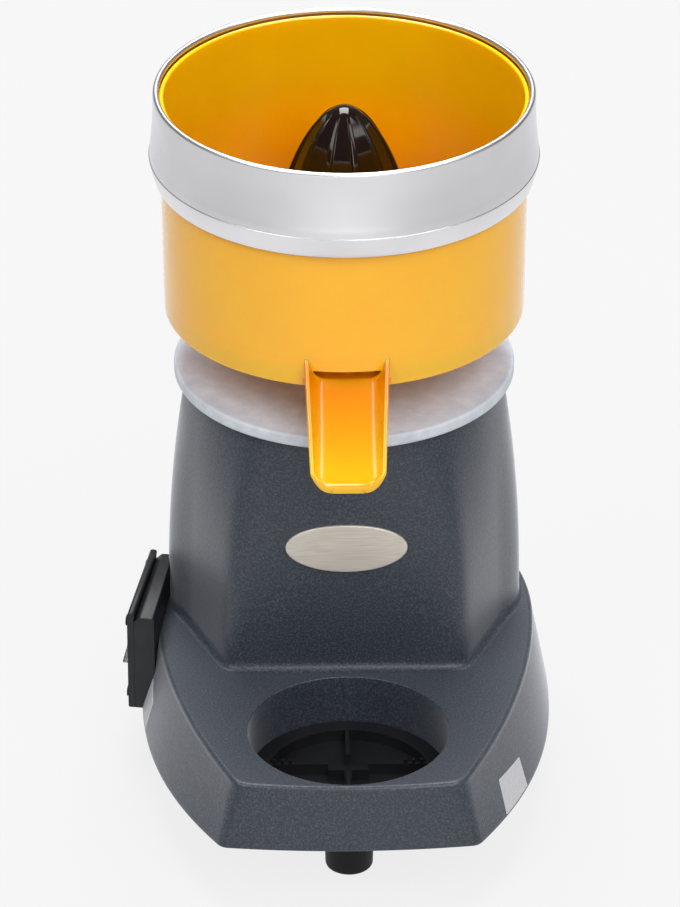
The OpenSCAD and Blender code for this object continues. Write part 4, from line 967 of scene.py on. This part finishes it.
def floor():
    """A wide pale floor: to the camera mostly its own even tone, with only a soft trace of shadow on it.

    Metal sees it fall off to the sides, as a lit table in a darker room does.
    """
    half, own_tone = 8, 0.85
    lit_to, dark_from, lit, dark = 0.32, 0.65, 1.06, 0.8
    mesh = bpy.data.meshes.new("floor")
    corners = [(-half, -half, 0), (half, -half, 0), (half, half, 0), (-half, half, 0)]
    mesh.from_pydata(corners, [], [(0, 1, 2, 3)])
    obj = bpy.data.objects.new("floor", mesh)
    bpy.context.scene.collection.objects.link(obj)
    material = bpy.data.materials.new("pale_studio_floor")
    material.use_nodes = True
    material.cycles.emission_sampling = "NONE"
    tree = material.node_tree
    tree.nodes.clear()
    by_camera = node(tree, "ShaderNodeLightPath", out="Is Camera Ray")
    by_gloss = node(tree, "ShaderNodeLightPath", out="Is Glossy Ray")
    by_glass = node(tree, "ShaderNodeLightPath", out="Is Transmission Ray")
    seen = node(tree, MATH, LARGER, {0: by_camera, 1: by_glass})
    seen = node(tree, MATH, LARGER, {0: seen, 1: by_gloss})
    share = node(tree, MATH, {"operation": "MULTIPLY", 1: own_tone}, {0: seen})
    where = node(tree, "ShaderNodeTexCoord", out="Object")
    aside = node(tree, MATH, {"operation": "ABSOLUTE"}, {0: node(tree, SPLIT, {}, {0: where}, "X")})
    mirrored = node(tree, RANGE, {"From Min": lit_to, "From Max": dark_from, "To Min": lit, "To Max": dark},
                    {"Value": aside})
    # a Mix node takes numbers in sockets 2 and 3
    strength = node(tree, MIX, {"data_type": "FLOAT", 2: 1.0}, {MIX_SHARE: by_gloss, 3: mirrored})
    matt = node(tree, "ShaderNodeBsdfDiffuse", {"Color": colour("#a2a2a2")})
    glow = node(tree, "ShaderNodeEmission", {"Color": colour("#fbfbfb")}, {"Strength": strength})
    both = node(tree, "ShaderNodeMixShader", {}, {0: share, 1: matt, 2: glow})
    node(tree, "ShaderNodeOutputMaterial", {}, {0: both})
    mesh.materials.append(material)
    return obj


floor()


def facing(spot, aim):
    """Matrix of a lamp or camera that stands at a spot and looks at an aim, upright."""
    spot, aim = Vector(spot), Vector(aim)
    return Matrix.Translation(spot) @ (aim - spot).to_track_quat("-Z", "Y").to_matrix().to_4x4()


def soft_box(name, spot, aim, size, watts):
    """A rectangular area light of a size in metres, at a spot and turned to an aim."""
    light = bpy.data.lights.new(name, "AREA")
    light.shape = "RECTANGLE"
    light.size, light.size_y = size
    light.energy = watts
    obj = bpy.data.objects.new(name, light)
    bpy.context.scene.collection.objects.link(obj)
    obj.matrix_world = facing(spot, aim)


soft_box("left_soft_box", (-1.5, -1.1, 2.4), (0, 0, 0.2), (1.5, 1.5), 31)
soft_box("right_soft_box", (1.5, -1.1, 2.4), (0, 0, 0.2), (1.5, 1.5), 31)
soft_box("top_soft_box", (0, 1.05, 2.5), (0, 0, 0.2), (1.5, 1.5), 104)
soft_box("fill_soft_box", (0.5, -2.25, 1.9), (0, 0, 0.3), (1.0, 1.0), 26)
soft_box("rear_soft_box", (0, 2.4, 1.5), (0, 0, 0.2), (2.6, 1.6), 2.5)
soft_box("front_card", (0, -2.4, 0.3), (0, 0, 0.3), (3.2, 0.6), 7)


def studio_world():
    """White surroundings: pale to the camera, and a low even light on the object."""
    world = bpy.data.worlds.new("studio")
    world.use_nodes = True
    tree = world.node_tree
    background = tree.nodes["Background"]
    background.inputs["Color"].default_value = colour("#ffffff")
    by_camera = node(tree, "ShaderNodeLightPath", out="Is Camera Ray")
    strength = node(tree, RANGE, {"To Min": 0.18, "To Max": 0.93}, {"Value": by_camera})
    link(tree, background, {"Strength": strength})
    return world


def photo_camera():
    """Camera at the photograph's angle: its focal length is given in pixels of a frame 907 pixels high."""
    elevation, yaw, distance = math.radians(29.61254), math.radians(-0.86173), 3000.0
    target = np.array([-2.0792, 0.0, 141.4198])
    focal_pixels, frame_pixels, sensor = 5877.2315, 907, 36.0
    level_reach = math.cos(elevation)
    backward = np.array([math.sin(yaw) * level_reach, -math.cos(yaw) * level_reach, math.sin(elevation)])
    camera = bpy.data.cameras.new("photo_view")
    camera.sensor_width = sensor
    camera.lens = sensor * focal_pixels / frame_pixels
    obj = bpy.data.objects.new("photo_view", camera)
    bpy.context.scene.collection.objects.link(obj)
    obj.matrix_world = facing(place(target + distance * backward).tolist(), place(target).tolist())
    return obj


bpy.context.scene.world = studio_world()
bpy.context.scene.camera = photo_camera()
bpy.context.scene.view_settings.view_transform = "Standard"
